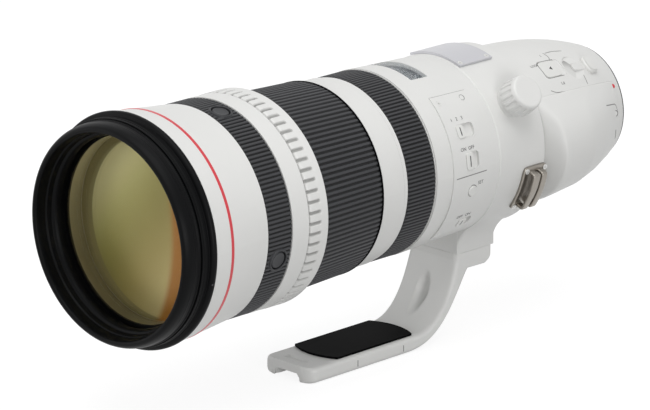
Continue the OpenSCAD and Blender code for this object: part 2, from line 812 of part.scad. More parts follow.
module switch_pockets() {
    for (k = switches()) on_barrel(k[0], k[1] - pocket_l(k) / 2, pocket_d(k))
        round_block(k[2] + 2 * slide_gap, pocket_l(k), pocket_depth + over, slider_corner + slide_gap);
    on_barrel(set_angle, set_s(), set_d()) cylinder(h = pocket_depth + over, r = set_r + slide_gap);
    for (a = [-panel_screw_angle, panel_screw_angle])
        small_hole(a, panel_screw_s(), panel_seat(panel_screw_s()), screw_l);
}

module slider(k) color("gainsboro") on_barrel(k[0], k[1] - slide_gap - slider_l / 2, pocket_d(k) + fit) {
    round_block(k[2], slider_l, pocket_depth - fit + proud, slider_corner);
    for (i = [-1:1]) translate([0, i * slider_l / 4, pocket_depth - fit + proud])
        block(k[2] * rib_w_share, slider_l * rib_l_share, proud);
}

module mode_switch() slider(switches()[0]);
module power_switch() slider(switches()[1]);
module preset_switch() slider(switches()[2]);

module set_button() color("gainsboro") on_barrel(set_angle, set_s(), set_d() + set_travel + fit)
    cylinder(h = pocket_depth, r = set_r);

module switch_panel() color("gainsboro") difference() {
    intersection() {
        turned([[shell_out(panel_s) + fit, panel_s], [shell_out(panel_s) + panel_h, panel_s],
            [shell_out(panel_s + panel_l) + panel_h, panel_s + panel_l],
            [shell_out(panel_s + panel_l) + fit, panel_s + panel_l]]);
        wedge(panel_bottom_angle, panel_top_angle, panel_s - over, panel_s + panel_l + over, shell_front_r);
    }
    switch_pockets();
}

module window_glass() color("slategray") arc_plate(window_from_angle + fit, window_to_angle - fit, window_s + fit,
    window_s + window_l - fit, shell_out(window_s) - window_sink, shell_out(window_s) - window_sink - window_t);

module distance_scale() color("black") tube(window_s - scale_margin, window_s + window_l + scale_margin,
    seat_r + gap + scale_t, seat_r + gap);

module front_barrel() color("gainsboro") difference() {
    turned([[play_seat_r - play_wall, focus_s + gap], [play_seat_r, focus_s + gap], [play_seat_r, play_s],
        [sleeve_r, play_s], [sleeve_r, sleeve_s], [band_seat_r, sleeve_s], [band_seat_r, band_s],
        [sleeve_r, band_s], [cone_front_r, cone_s], [nose_r, cone_s], [nose_r, hood_s],
        [nose_r - nose_t, hood_s], [nose_r - nose_t, rim_sleeve_s], [front_glass_r + fit, rim_sleeve_s],
        [front_glass_r + fit, cell_end_s], [cell_r, cell_end_s], [cell_r, cell_s], [front_in_r, cell_s],
        [front_in_r, tube_s + bulkhead], [bore_r - skin, tube_s + bulkhead], [bore_r - skin, tube_s],
        [play_seat_r - play_wall, tube_s]]);
    tube(cone_s - red_back - red_w / 2, cone_s - red_back + red_w / 2, hood_r,
        cone_out(cone_s - red_back) - red_depth);
    for (i = [0:3]) on_barrel(stop_angles[i], stop_s, band_seat_r - over)
        cylinder(h = 2 * over, r = stop_r + slide_gap);
}

module red_ring() color("crimson") let (s0 = cone_s - red_back - red_w / 2 + fit / 2, s1 = s0 + red_w - fit)
    turned([[cone_out(s0) - red_depth + fit, s0], [cone_out(s0) + red_proud, s0],
        [cone_out(s1) + red_proud, s1], [cone_out(s0) - red_depth + fit, s1]]);

module button_band() color("black") difference() {
    union() {
        tube(sleeve_s + fit, band_s - fit, sleeve_r, band_seat_r + fit);
        for (a = stop_angles) intersection() {
            on_barrel(a, stop_s, band_seat_r - over)
                cylinder(h = band_t + 2 * over, r = stop_r + slide_gap + stop_rim_w);
            tube(sleeve_s + fit, band_s - fit, sleeve_r + stop_h, band_seat_r + fit);
        }
    }
    for (a = stop_angles) on_barrel(a, stop_s, band_seat_r - over)
        cylinder(h = band_t + 3 * over, r = stop_r + slide_gap);
}

// A stop button: a shallow dome on a stem that reaches down to its seat
module stop_button(a) color("dimgray") on_barrel(a, stop_s, band_seat_r - over + stop_travel + fit)
    rotate_extrude() polygon([[0, 0], [stop_r, 0], [stop_r, stop_top() - stop_h / 2],
        [stop_r - stop_h / 2, stop_top()], [0, stop_top()]]);
function stop_top() = band_t + over + stop_h - stop_travel - fit;

module stop_button_top() stop_button(stop_angles[0]);
module stop_button_left() stop_button(stop_angles[1]);
module stop_button_bottom() stop_button(stop_angles[2]);
module stop_button_right() stop_button(stop_angles[3]);

module hood_ring() color("black") turned([[nose_r + fit, cone_s], [hood_r - hood_edge, cone_s],
    [hood_r, cone_s + hood_edge], [hood_r, cone_s + hood_l * hood_shares[0]],
    [hood_r - hood_edge, cone_s + hood_l * hood_shares[1]], [hood_seat_r, cone_s + hood_l * hood_shares[2]],
    [hood_seat_r, hood_s], [nose_r + fit, hood_s]]);

module front_rim() color("black") turned(concat([[objective_r + rim_bore, rim_sleeve_s + fit
    + glass_rise(objective_r + rim_bore)], [front_glass_r, rim_sleeve_s + fit],
    [nose_r - nose_t - fit, rim_sleeve_s + fit], [nose_r - nose_t - fit, hood_s], [rim_r, hood_s]],
    [for (p = rim_shares) [rim_r - rim_curl * p[0], hood_s + rim_l * p[1]]]));
function glass_rise(r) = front_crown * (1 - pow(r / front_glass_r, 2));

module front_glass() color("olivedrab")
    element(cell_end_s, rim_sleeve_s, front_glass_r, -crown_share * front_crown, front_crown);

module objective_glass() color("lightblue") for (e = objective_shares)
    element(cell_s + seat_l() * e[0], cell_s + seat_l() * e[1], objective_r, seat_l() * e[2], seat_l() * e[3]);
function seat_l() = cell_end_s - cell_s;

// Slots in the guide tube that let the zoom cells slide, and slanted ones in the cam barrel that drive them
module guide_tube() color("dimgray") difference() {
    union() {
        tube(step_s, step_s + guide_l, guide_r, guide_r - guide_wall);
        tube(step_s, step_s + tube_wall, bore_r - fit, guide_r - over);
    }
    for (a = slot_angles) on_barrel(a, (comp_s + var_s + var_l) / 2, guide_r - 2 * guide_wall)
        block(slot_w, var_s + var_l - comp_s, 3 * guide_wall);
}

module cam_barrel() color("darkkhaki") difference() {
    tube(step_s + tube_wall + gap, step_s + guide_l - gap, guide_r + gap + cam_wall, guide_r + gap);
    for (a = slot_angles) {
        cam_slot(a + slot_turn, var_s + (var_l - var_travel) / 2, var_travel);
        cam_slot(a, comp_s + (comp_l + comp_travel) / 2, comp_travel);
    }
}
module cam_slot(a, s, travel) on_barrel(a, s, guide_r - cam_wall) rotate([0, 0, cam_slant])
    block(slot_w, (travel + slot_w) / cos(cam_slant), 4 * cam_wall);

// A lens cell: a tube with a lip at its rear, and its elements seated in it
module cell(s, long, outer) color("dimgray") turned([[outer - 2 * cell_wall, s], [outer, s], [outer, s + long],
    [outer - cell_wall, s + long], [outer - cell_wall, s + skin], [outer - 2 * cell_wall, s + skin]]);
module cell_lenses(s, long, outer, count) color("lightblue") let (room = long - skin)
    for (i = [0:count - 1]) element(s + skin + fit + room * (i + lens_shares[0]) / count,
        s + skin + room * (i + lens_shares[1]) / count, outer - cell_wall - fit, -lens_crown, lens_crown);

module variator_cell() cell(var_s, var_l, moving_r);
module variator_glass() cell_lenses(var_s, var_l, moving_r, 2);
module compensator_cell() cell(comp_s, comp_l, moving_r);
module compensator_glass() cell_lenses(comp_s, comp_l, moving_r, 1);
module focus_cell() cell(fcell_s, fcell_l, bore_r - gap);
module focus_glass() cell_lenses(fcell_s, fcell_l, bore_r - gap, 2);

module motor_stator() color("goldenrod") tube(motor_s, motor_s + motor_l, bore_r - fit, bore_r - fit - motor_w);
module motor_rotor() color("silver") tube(motor_s + motor_l + gap, motor_s + 2 * motor_l, bore_r - gap,
    bore_r - gap - motor_w);

module circuit_board() color("green") tube(rear_l - board_t, rear_l, board_r, board_r - board_w);

module stabiliser_base() color("dimgray") turned([[stab_r + 2 * bulkhead, stab_s], [collar_bore_r - fit, stab_s],
    [collar_bore_r - fit, stab_s + stab_l], [collar_bore_r - 2 * cell_wall, stab_s + stab_l],
    [collar_bore_r - 2 * cell_wall, stab_s + skin], [stab_r + 2 * bulkhead, stab_s + skin]]);
module stabiliser_yoke() color("silver") tube(stab_s + skin + gap, stab_s + 2 * skin + gap,
    collar_bore_r - 2 * cell_wall - 2 * stab_travel, stab_r + bulkhead);
module stabiliser_cell() color("lightblue") {
    tube(stab_s + 2 * skin + 2 * gap, stab_s + stab_l - over, stab_r + 2 * bulkhead, stab_r + fit);
    element(stab_s + stab_l * stab_shares[0], stab_s + stab_l * stab_shares[1], stab_r, lens_crown, lens_crown);
}

module iris_unit() color("black") turned([[iris_r + 2 * bulkhead, iris_s], [collar_bore_r - fit, iris_s],
    [collar_bore_r - fit, iris_s + iris_l], [iris_r + 2 * bulkhead, iris_s + iris_l],
    [iris_r + 2 * bulkhead, iris_s + iris_l * iris_shares[1]], [iris_r, iris_s + iris_l * iris_shares[1]],
    [iris_r, iris_s + iris_l * iris_shares[0]], [iris_r + 2 * bulkhead, iris_s + iris_l * iris_shares[0]]]);

module zoom_ring() color("gainsboro") turned([[seat_r + gap, shell_s + gap], [zoom_grip_r, shell_s + gap],
    [zoom_grip_r, shell_s + gap + grip_edge], [zoom_core_r, shell_s + gap + grip_edge],
    [zoom_core_r, shell_s + grip_l], [zoom_grip_r, shell_s + grip_l], [zoom_grip_r, shell_s + grip_l + scale_step],
    [zoom_grip_r + grip_edge, shell_s + grip_l + scale_step], [scale_front_r, zoom_s], [seat_r + gap, zoom_s]]);
module zoom_grip() color("black") let (s0 = shell_s + gap + grip_edge + fit, s1 = shell_s + grip_l - fit)
    tube(s0, s1, zoom_grip_r + gap, zoom_core_r + fit);

module focus_ring() color("dimgray") turned([[seat_r + gap, zoom_s + gap], [focus_rear_r, zoom_s + gap],
    [focus_rear_r, zoom_s + gap + grip_edge], [focus_core_r, zoom_s + gap + grip_edge],
    [focus_core_r, focus_s - grip_edge], [focus_front_r, focus_s - grip_edge], [focus_front_r, focus_s],
    [seat_r + gap, focus_s]]);
module focus_grip() color("black") let (s0 = zoom_s + gap + grip_edge + fit, s1 = focus_s - grip_edge - fit)
    turned([[focus_core_r + fit, s0], [focus_rear_r, s0], [focus_front_r, s1], [focus_core_r + fit, s1]]);

module playback_ring() color("gainsboro") difference() {
    tube(focus_s + gap, play_s - play_front_gap, play_r, play_seat_r + gap);
    for (i = [0:play_pads - 1]) on_barrel(360 * i / play_pads, play_s, play_r - pad_groove_h)
        translate([-pad_groove_w / 2, 0, 0]) cube([pad_groove_w, play_l * (1 - pad_share), pad_groove_h + over]);
}

module collar_ring() color("gainsboro") difference() {
    union() {
        turned([[collar_seat_r + gap, rear_l + gap], [collar_edge_r, rear_l + gap],
            [collar_r, rear_l + gap + collar_chamfer_l], [collar_r, collar_s - gap - collar_front_edge],
            [collar_r - collar_front_edge, collar_s - gap], [collar_seat_r + gap, collar_s - gap]]);
        translate([-foot_half_w, gap - collar_s, -block_z])
            cube([2 * foot_half_w, collar_s - gap - foot_s0, block_z - collar_seat_r + collar_wall / 2]);
        on_barrel(knob_angle, knob_s, collar_r - skin) cylinder(h = skin + boss_h, r = boss_r);
    }
    disc(rear_l - over, collar_s + over, collar_seat_r + gap);
    on_barrel(knob_angle, knob_s, collar_seat_r) cylinder(h = knob_h, r = stud_r + pin_fit);
    for (p = collar_screw_places()) small_hole(p[0], p[1], p[2], screw_l);
    foot_screw_bodies(fit, 2 * over);
}

// Angle, station and seat radius of the screws of the name plate and of both strap lugs
function collar_screw_places() = concat(
    [for (a = [90 - plate_half_angle + screw_in_angle, 90 + plate_half_angle - screw_in_angle])
        for (s = [plate_s + screw_in, plate_s + plate_l - screw_in])
            [a, s, collar_r + fit + plate_t - screw_head_h]],
    [for (side = [0, 1]) for (a = [lug_top_angle - screw_in_angle, lug_bottom_angle + screw_in_angle])
        for (s = [lug_s + screw_in, lug_s + lug_l - screw_in])
            [side == 0 ? a : 180 - a, s, collar_r + fit + lug_plate - screw_head_h / 2]]);

// The four screws that hold the foot, grown by a clearance
module foot_screw_bodies(grow, reach) for (share = foot_screw_shares) for (x = [-foot_screw_x, foot_screw_x])
    translate([x, -foot_s0 - foot_l * share, foot_floor()]) {
        translate([0, 0, -reach]) cylinder(h = foot_head_h + reach, r = foot_head_r + grow);
        cylinder(h = foot_screw_l + grow, r = foot_screw_r + grow);
    }
function foot_floor() = -block_z - foot_drop * foot_root_shares[2][1] + fit;

module collar_screws() color("dimgray") {
    for (p = collar_screw_places()) small_screw(p[0], p[1], p[2], screw_l);
    foot_screw_bodies(0, 0);
}

module name_plate() color("silver") difference() {
    arc_plate(90 - plate_half_angle, 90 + plate_half_angle, plate_s, plate_s + plate_l,
        collar_r + fit + plate_t, collar_r + fit);
    for (p = collar_screw_places()) small_hole(p[0], p[1], p[2], screw_l);
}

// One strap lug about its middle angle: a screwed plate with a double bar that stands off it
module one_lug(a) let (base = collar_r + fit + lug_plate, top = base + strap_gap, mid = lug_s + lug_l / 2,
    half = (lug_top_angle - lug_bottom_angle) / 2, s0 = lug_s + 2 * lug_rim, s1 = lug_s + lug_l - 2 * lug_rim) {
    arc_plate(a - half, a + half, lug_s, lug_s + lug_l, base, collar_r + fit);
    for (side = [-1, 1]) let (at = a + side * (half - 2 * lug_post))
        arc_plate(at - lug_post / 2, at + lug_post / 2, s0 + fit, s1 - fit,
            top + lug_plate / 2, base - lug_plate / 2);
    for (s = [[s0, mid - lug_rim / 2], [mid + lug_rim / 2, s1]])
        arc_plate(a - half + lug_post, a + half - lug_post, s[0], s[1], top + lug_plate, top);
}

module strap_lug() color("darkgray") difference() {
    for (a = [(lug_top_angle + lug_bottom_angle) / 2, 180 - (lug_top_angle + lug_bottom_angle) / 2]) one_lug(a);
    for (p = collar_screw_places()) small_hole(p[0], p[1], p[2], screw_l);
}

module lock_knob() color("gainsboro") on_barrel(knob_angle, knob_s, collar_r + boss_h + gap) {
    difference() {
        rotate_extrude() polygon([[0, 0], [knob_r - knob_edge, 0], [knob_r, knob_h * knob_shares[0]],
            [knob_face_r + knob_edge / 2, knob_h * knob_shares[1]],
            [knob_face_r - knob_edge / 2, knob_h], [0, knob_h]]);
        for (i = [0:knob_flutes - 1]) rotate([0, 0, 360 * i / knob_flutes])
            translate([knob_r + flute_r - flute_h, 0, -over])
                cylinder(h = knob_h * flute_share + over, r = flute_r);
    }
    let (long = collar_r + boss_h - collar_seat_r - stud_back)
        translate([0, 0, -long]) cylinder(h = long, r = stud_r);
}

function foot_point(share) = [foot_s0 + foot_l * share[0], -block_z - foot_drop * share[1]];

module tripod_foot() color("gainsboro") difference() {
    intersection() {
        translate([-foot_half_w, 0, 0]) rotate([90, 0, 90]) linear_extrude(2 * foot_half_w)
            mirror([1, 0]) polygon(concat(
                [for (p = foot_root_shares) foot_point(p) - [0, fit]],
                [for (i = [1:foot_steps]) bezier([for (p = foot_rear_shares) foot_point(p)], i / foot_steps)],
                [foot_point([1, 1]), foot_top_point(1)],
                [for (i = [0:foot_steps]) bezier([for (p = foot_front_shares)
                    foot_top_point(p[0]) + [0, (foot_drop - foot_t) * p[1]]], i / foot_steps)],
                [[collar_s - gap, -block_z - fit]]));
        translate([0, 0, -foot_z - over]) linear_extrude(foot_z) difference() {
            translate([-foot_half_w, -foot_s0 - foot_l]) square([2 * foot_half_w, foot_l + over]);
            for (side = [-1, 1]) difference() {
                translate([side * foot_half_w, -foot_s0 - foot_l]) square(2 * foot_corner_r, center = true);
                translate([side * (foot_half_w - foot_corner_r), -foot_s0 - foot_l + foot_corner_r])
                    circle(foot_corner_r);
            }
        }
    }
    for (i = [0, 1]) translate([0, -foot_s0 - foot_l * hole_shares[i], -foot_z - over])
        cylinder(h = thread_l + over, r = [thread_big_r, thread_small_r][i]);
    translate([-channel_w / 2, -foot_s0 - foot_l - over, -foot_z - over])
        cube([channel_w, channel_l + over, channel_h + over]);
    foot_screw_bodies(fit, 2 * over);
    translate([0, -foot_point(hollow_shares)[0], foot_point(hollow_shares)[1]]) sphere(hollow_r);
}
function foot_top_point(share) = [foot_s0 + foot_l * share, -foot_z + foot_t];

module foot_pad() color("black") translate([0, 0, -foot_z + foot_t]) linear_extrude(pad_t) intersection() {
    translate([-pad_half_w, -foot_s0 - foot_l * pad_shares[1]])
        square([2 * pad_half_w, foot_l * (pad_shares[1] - pad_shares[0])]);
    translate([0, -foot_s0 - foot_l * (pad_shares[0] + pad_shares[1]) / 2])
        circle(foot_l * (pad_shares[1] - pad_shares[0]) / 2);
}

module extender_lock() color("gainsboro") on_barrel(lock_angle, lock_s() + lock_travel / 2,
    rear_out(lock_s()) - lock_floor + fit) {
    round_block(lock_w, lock_l, lock_floor - fit + lock_proud, slider_corner);
    for (i = [-1:1]) translate([0, i * lock_l / 5, lock_floor - fit + lock_proud])
        block(lock_w * lock_rib_share, lock_l * rib_l_share, proud);
}

module extender_lever() color("gainsboro")
    on_barrel(lever_angle, lever_s, rear_out(lever_s) - dish_h + lever_lift) {
        cylinder(h = lever_t, r = dish_r - slide_gap - proud);
        translate([-lever_w / 2, 0, lever_arm_h])
            cube([lever_w, lever_l - lever_tab_l / 2 + over, lever_t - lever_arm_h]);
        translate([0, lever_l, lever_arm_h - over]) block(lever_tab_w, lever_tab_l, lever_tab_h);
    }

module extender_cell() color("dimgray") difference() {
    union() {
        bar(park_x, park_z, ext_s, ext_s + ext_l, ext_r);
        bar(pin_x, pin_z, ext_s, ext_s + ext_l, pin_r + pin_boss_w);
        hanger();
    }
    bar(park_x, park_z, ext_s + ext_wall, ext_s + ext_l + over, ext_r - ext_wall);
    bar(park_x, park_z, ext_s - over, ext_s + over + ext_wall, ext_r - 2 * ext_wall);
    bar(pin_x, pin_z, ext_s - over, ext_s + ext_l + over, pin_r + pin_fit);
}

// The arm from the swing pin's boss to the parked cell
module hanger() let (dx = park_x - pin_x, dz = park_z - pin_z) translate([pin_x, -ext_s, pin_z])
    rotate([0, -atan2(dz, dx), 0]) translate([pin_r + pin_fit + over, -ext_arm_t, -pin_r - over])
        cube([norm([dx, dz]) - ext_r, ext_arm_t, 2 * (pin_r + over)]);

module extender_glass() color("lightblue") for (e = extender_shares)
    translate([park_x, 0, park_z]) element(ext_s + ext_wall + (ext_l - ext_wall) * e[0],
        ext_s + ext_wall + (ext_l - ext_wall) * e[1], ext_r - ext_wall - fit, lens_crown, lens_crown);

// Outline of the filter drawer, grown by a clearance: round inside, square to the barrel's side
module drawer_shape(grow, extra) translate([0, -drawer_s + grow, 0]) rotate([90, 0, 0])
    linear_extrude(drawer_t + 2 * grow) {
        circle(drawer_r + grow);
        translate([-rear_r - extra, -drawer_r - grow]) square([rear_r + extra, 2 * (drawer_r + grow)]);
    }

module filter_drawer() color("gainsboro") difference() {
    intersection() {
        drawer_shape(0, 0);
        rear_body(0, 0);
    }
    bar(0, 0, drawer_s - over, drawer_s + drawer_t + over, filter_r - drawer_window);
    bar(0, 0, drawer_s + drawer_t - filter_t - fit, drawer_s + drawer_t + over, filter_r + fit);
}
module filter_glass() color("lightblue") bar(0, 0, drawer_s + drawer_t - filter_t, drawer_s + drawer_t, filter_r);

mount_flange();
contact_block();
contact_pins();
mount_gasket();
rear_barrel();
side_cover();
barrel_screws();
rear_glass();
main_barrel();
switch_panel();
window_glass();
front_barrel();
red_ring();
button_band();
hood_ring();
front_rim();
front_glass();
objective_glass();
guide_tube();
motor_stator();
circuit_board();
iris_unit();
stabiliser_base();
collar_ring();
name_plate();
collar_screws();
strap_lug();
tripod_foot();
foot_pad();
lock_knob();
focus_ring();
focus_grip();
distance_scale();
focus_cell();
focus_glass();
motor_rotor();
zoom_ring();
zoom_grip();
cam_barrel();
variator_cell();
variator_glass();
compensator_cell();
compensator_glass();
playback_ring();
stop_button_top();
stop_button_left();
stop_button_bottom();
stop_button_right();
set_button();
mode_switch();
power_switch();
preset_switch();
extender_lock();
extender_lever();
extender_cell();
extender_glass();
filter_drawer();
filter_glass();
stabiliser_yoke();
stabiliser_cell();
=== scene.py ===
"""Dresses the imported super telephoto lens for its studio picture.

Frame: the optical axis is Y, the front looks towards -Y, +Z is up. A station is the distance in mm
forward of the mount's seat face, along -Y. An angle on the barrel is counted from +X towards +Z.
"""

import logging
import math
from dataclasses import dataclass
from enum import Enum
from typing import Any, Callable, Iterable, Sequence

import bmesh
import bpy
import numpy as np
from mathutils import Matrix


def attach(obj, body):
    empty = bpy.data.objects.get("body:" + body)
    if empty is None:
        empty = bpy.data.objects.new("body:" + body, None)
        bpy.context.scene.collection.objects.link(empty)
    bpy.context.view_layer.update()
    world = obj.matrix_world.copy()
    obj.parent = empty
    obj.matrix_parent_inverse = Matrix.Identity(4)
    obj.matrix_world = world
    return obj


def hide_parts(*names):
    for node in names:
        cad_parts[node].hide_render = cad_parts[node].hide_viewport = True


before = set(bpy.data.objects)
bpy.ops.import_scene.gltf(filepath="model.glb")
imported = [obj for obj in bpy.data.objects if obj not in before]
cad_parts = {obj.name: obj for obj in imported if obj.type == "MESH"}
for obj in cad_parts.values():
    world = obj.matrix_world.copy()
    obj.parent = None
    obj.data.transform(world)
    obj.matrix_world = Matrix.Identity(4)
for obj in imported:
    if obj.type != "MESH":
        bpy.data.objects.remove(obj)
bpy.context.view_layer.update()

MM = 0.001
SUNK = 0.06  # depth in mm of a strip's underside below the surface that it lies on
PAINTED_SHADE = "painted_shade"  # mesh attribute for painted shade: 1 where shade is painted darkest, such as a groove's floor, a recess or a bevel
LOG = logging.getLogger("lens")
Colour = tuple[float, float, float]
Point = tuple[float, float, float]
Outline = tuple[tuple[float, float], ...]


# ---------------------------------------------------------------- surfaces

def smoothstep(low: float, high: float, value: np.ndarray) -> np.ndarray:
    """Rises from 0 at low to 1 at high along 3t^2 - 2t^3.

    Args:
        low: value where the step starts.
        high: value where the step ends.
        value: array to map.

    Returns:
        Array of the same shape between 0 and 1.
    """
    t = np.clip((value - low) / (high - low), 0.0, 1.0)
    return t * t * (3.0 - 2.0 * t)


def barrel_points(radius: np.ndarray, station: np.ndarray, angle: np.ndarray) -> np.ndarray:
    """Cylinder coordinates to metres: x is r cos a, y is minus the station, z is r sin a.

    Args:
        radius: distances from the optical axis in mm.
        station: stations in mm.
        angle: angles in radians.

    Returns:
        Array of points with a last axis of three.
    """
    radius, station, angle = np.broadcast_arrays(radius, station, angle)
    return np.stack([radius * np.cos(angle), -station, radius * np.sin(angle)], axis=-1) * MM


def around(steps: int) -> np.ndarray:
    """Column of even angles in radians once round the axis; the first isn't repeated at the end."""
    return np.linspace(0.0, 2 * math.pi, steps, endpoint=False)[:, None]


def mesh_points(mesh: bpy.types.Mesh) -> np.ndarray:
    """Points of a mesh, read at once.

    Args:
        mesh: the mesh to read.

    Returns:
        Array of points in metres, one row of three for each.
    """
    points = np.empty(len(mesh.vertices) * 3)
    mesh.vertices.foreach_get("co", points)
    return points.reshape(-1, 3)


def grid_piece(name: str, points: np.ndarray, wrap_u: bool, wrap_v: bool, sharp: float = 35.0,
               caps: bool = False, poles: bool = False) -> bpy.types.Object:
    """Makes a mesh from a grid of points, one quad between each two rows and two columns.

    Args:
        name: name of the new object.
        points: array of shape (rows, columns, 3) in metres.
        wrap_u: joins the last row to the first.
        wrap_v: joins the last column to the first.
        sharp: edges whose faces meet at more than this many degrees stay sharp.
        caps: closes the first and the last row with one face each.
        poles: merges points that coincide, so that a column of equal points is one pole.

    Returns:
        The new object, linked to the scene.
    """
    rows, cols = points.shape[:2]
    index = np.arange(rows * cols).reshape(rows, cols)
    if wrap_u:
        index = np.vstack([index, index[:1]])
    if wrap_v:
        index = np.hstack([index, index[:, :1]])
    quads = np.stack([index[:-1, :-1], index[1:, :-1], index[1:, 1:], index[:-1, 1:]], axis=-1).reshape(-1, 4)
    loops = quads.ravel()
    totals = np.full(len(quads), 4)
    if caps:
        loops = np.concatenate([loops, np.arange(cols), np.arange((rows - 1) * cols, rows * cols)[::-1]])
        totals = np.concatenate([totals, [cols, cols]])
    mesh = bpy.data.meshes.new(name)
    mesh.vertices.add(rows * cols)
    mesh.vertices.foreach_set("co", points.reshape(-1).astype(np.float32))
    mesh.loops.add(len(loops))
    mesh.loops.foreach_set("vertex_index", loops.astype(np.int32))
    mesh.polygons.add(len(totals))
    mesh.polygons.foreach_set("loop_start", (np.cumsum(totals) - totals).astype(np.int32))
    mesh.update(calc_edges=True)
    if poles:
        weld(mesh)
    return finish_mesh(name, mesh, sharp)


def weld(mesh: bpy.types.Mesh) -> None:
    """Merges the points of a mesh that lie within a ten-thousandth of a mm.

    Args:
        mesh: the mesh to merge.
    """
    build = bmesh.new()
    build.from_mesh(mesh)
    bmesh.ops.remove_doubles(build, verts=build.verts, dist=0.0001 * MM)
    build.to_mesh(mesh)
    build.free()


def face_outwards(mesh: bpy.types.Mesh) -> None:
    """Turns all faces round where the mesh's volume is negative.

    Thrice the volume is the sum of area times centre dot normal. A flat sheet has none and stays.

    Args:
        mesh: the mesh to turn.
    """
    count = len(mesh.polygons)
    normal, centre, area = np.empty(count * 3), np.empty(count * 3), np.empty(count)
    for key, values in (("normal", normal), ("center", centre), ("area", area)):
        mesh.polygons.foreach_get(key, values)
    centre = centre.reshape(-1, 3) - centre.reshape(-1, 3).mean(axis=0)
    if np.sum(centre * normal.reshape(-1, 3) * area[:, None]) < -1e-14:
        mesh.flip_normals()


def paint_shade(piece: bpy.types.Object, deep: np.ndarray) -> None:
    """Stores how much painted shade each point gets, from 0 to 1, as the mesh's painted shade attribute."""
    piece.data.attributes.new(PAINTED_SHADE, "FLOAT", "POINT").data.foreach_set("value", deep.ravel())


def finish_mesh(name: str, mesh: bpy.types.Mesh, sharp: float) -> bpy.types.Object:
    """Turns the faces outwards, smooths the shading up to the sharp angle and links the object.

    Args:
        name: name of the new object.
        mesh: the mesh to finish.
        sharp: edges whose faces meet at more than this many degrees stay sharp.

    Returns:
        The new object.
    """
    mesh.validate()
    face_outwards(mesh)
    mesh.polygons.foreach_set("use_smooth", np.ones(len(mesh.polygons), dtype=bool))
    mesh.set_sharp_from_angle(angle=math.radians(sharp))
    piece = bpy.data.objects.new(name, mesh)
    bpy.context.scene.collection.objects.link(piece)
    return piece


def rounded_outline(corners: Sequence[Sequence[float]], radii: float | Sequence[float], steps: int = 5,
                    closed: bool = True) -> np.ndarray:
    """Replaces each corner by a quadratic curve that starts and ends at its radius from the corner.

    The curve is (1-t)^2 p + 2t(1-t) c + t^2 q, where c is the corner and p and q lie on its two sides.

    Args:
        corners: corner points in order.
        radii: rounding length of each corner, or one for all, in the corners' unit.
        steps: points for each rounded corner.
        closed: whether the last corner joins the first.

    Returns:
        Array of outline points.
    """
    c = np.asarray(corners, dtype=float)
    r = np.broadcast_to(np.asarray(radii, dtype=float), len(c))[:, None]
    before = np.roll(c, 1, axis=0) - c
    after = np.roll(c, -1, axis=0) - c
    before_l = np.maximum(np.linalg.norm(before, axis=1, keepdims=True), 1e-9)
    after_l = np.maximum(np.linalg.norm(after, axis=1, keepdims=True), 1e-9)
    p = c + before / before_l * np.minimum(r, before_l * 0.49)
    q = c + after / after_l * np.minimum(r, after_l * 0.49)
    if not closed:
        p[0], q[0], p[-1], q[-1] = c[0], c[0], c[-1], c[-1]
    t = np.linspace(0.0, 1.0, steps)[None, :, None]
    curve = (1 - t) ** 2 * p[:, None] + 2 * t * (1 - t) * c[:, None] + t ** 2 * q[:, None]
    return curve.reshape(-1, 2)


def dense_outline(outline: np.ndarray, step: float, closed: bool = True) -> np.ndarray:
    """Adds points along an outline's long sides, so that no side is longer than the step.

    Args:
        outline: outline points.
        step: longest side allowed.
        closed: whether the last point joins the first.

    Returns:
        Array of outline points.
    """
    ends = np.roll(outline, -1, axis=0) if closed else outline[1:]
    starts = outline if closed else outline[:-1]
    counts = np.maximum(1, np.ceil(np.linalg.norm(ends - starts, axis=1) / step)).astype(int)
    parts = [s + (e - s) * (np.arange(n) / n)[:, None] for s, e, n in zip(starts, ends, counts)]
    return np.vstack(parts + ([] if closed else [outline[-1:]]))


def bezier(points: Sequence[Sequence[float]], t: np.ndarray) -> np.ndarray:
    """Cubic curve: the four points weighted by (1-t)^3, 3t(1-t)^2, 3t^2(1-t) and t^3.

    Args:
        points: four points.
        t: places from 0 to 1.

    Returns:
        Array of points on the curve.
    """
    p = np.asarray(points, dtype=float)
    t = t[:, None]
    return p[0] * (1 - t) ** 3 + 3 * p[1] * t * (1 - t) ** 2 + 3 * p[2] * t ** 2 * (1 - t) + p[3] * t ** 3


def radial_piece(name: str, outline: np.ndarray, angle: float, station: float, follow: float = 0.0,
                 turns: int = 64, cut: np.ndarray | None = None) -> bpy.types.Object:
    """A piece turned about an axis that stands on the barrel: a knob, a button, a screw or a rim.

    A height that follows the barrel is lowered by R less the root of R^2 less the square of the
    distance across, where R is the radius that it follows.

    Args:
        name: name of the new object.
        outline: pairs of distance from the piece's own axis and height above the optical axis, in mm.
        angle: the piece's angle on the barrel in degrees.
        station: the piece's station.
        follow: radius of the surface that it follows, or 0 for a flat piece.
        turns: steps round its axis.
        cut: what is taken off the distance, as an array of turns by outline points.

    Returns:
        The new object.
    """
    turn = around(turns)
    reach = outline[None, :, 0] - (0.0 if cut is None else cut)
    across, along = reach * np.cos(turn), reach * np.sin(turn)
    high = outline[None, :, 1] + 0 * turn
    if follow:
        high = high - follow + np.sqrt(follow ** 2 - across ** 2)
    a = math.radians(angle)
    points = np.stack([high * math.cos(a) - across * math.sin(a), -station + along,
                       high * math.sin(a) + across * math.cos(a)], axis=-1) * MM
    poles = bool(outline[0, 0] == 0.0)
    return grid_piece(name, points, True, not poles, 40.0, poles=poles)


# ---------------------------------------------------------------- finishes

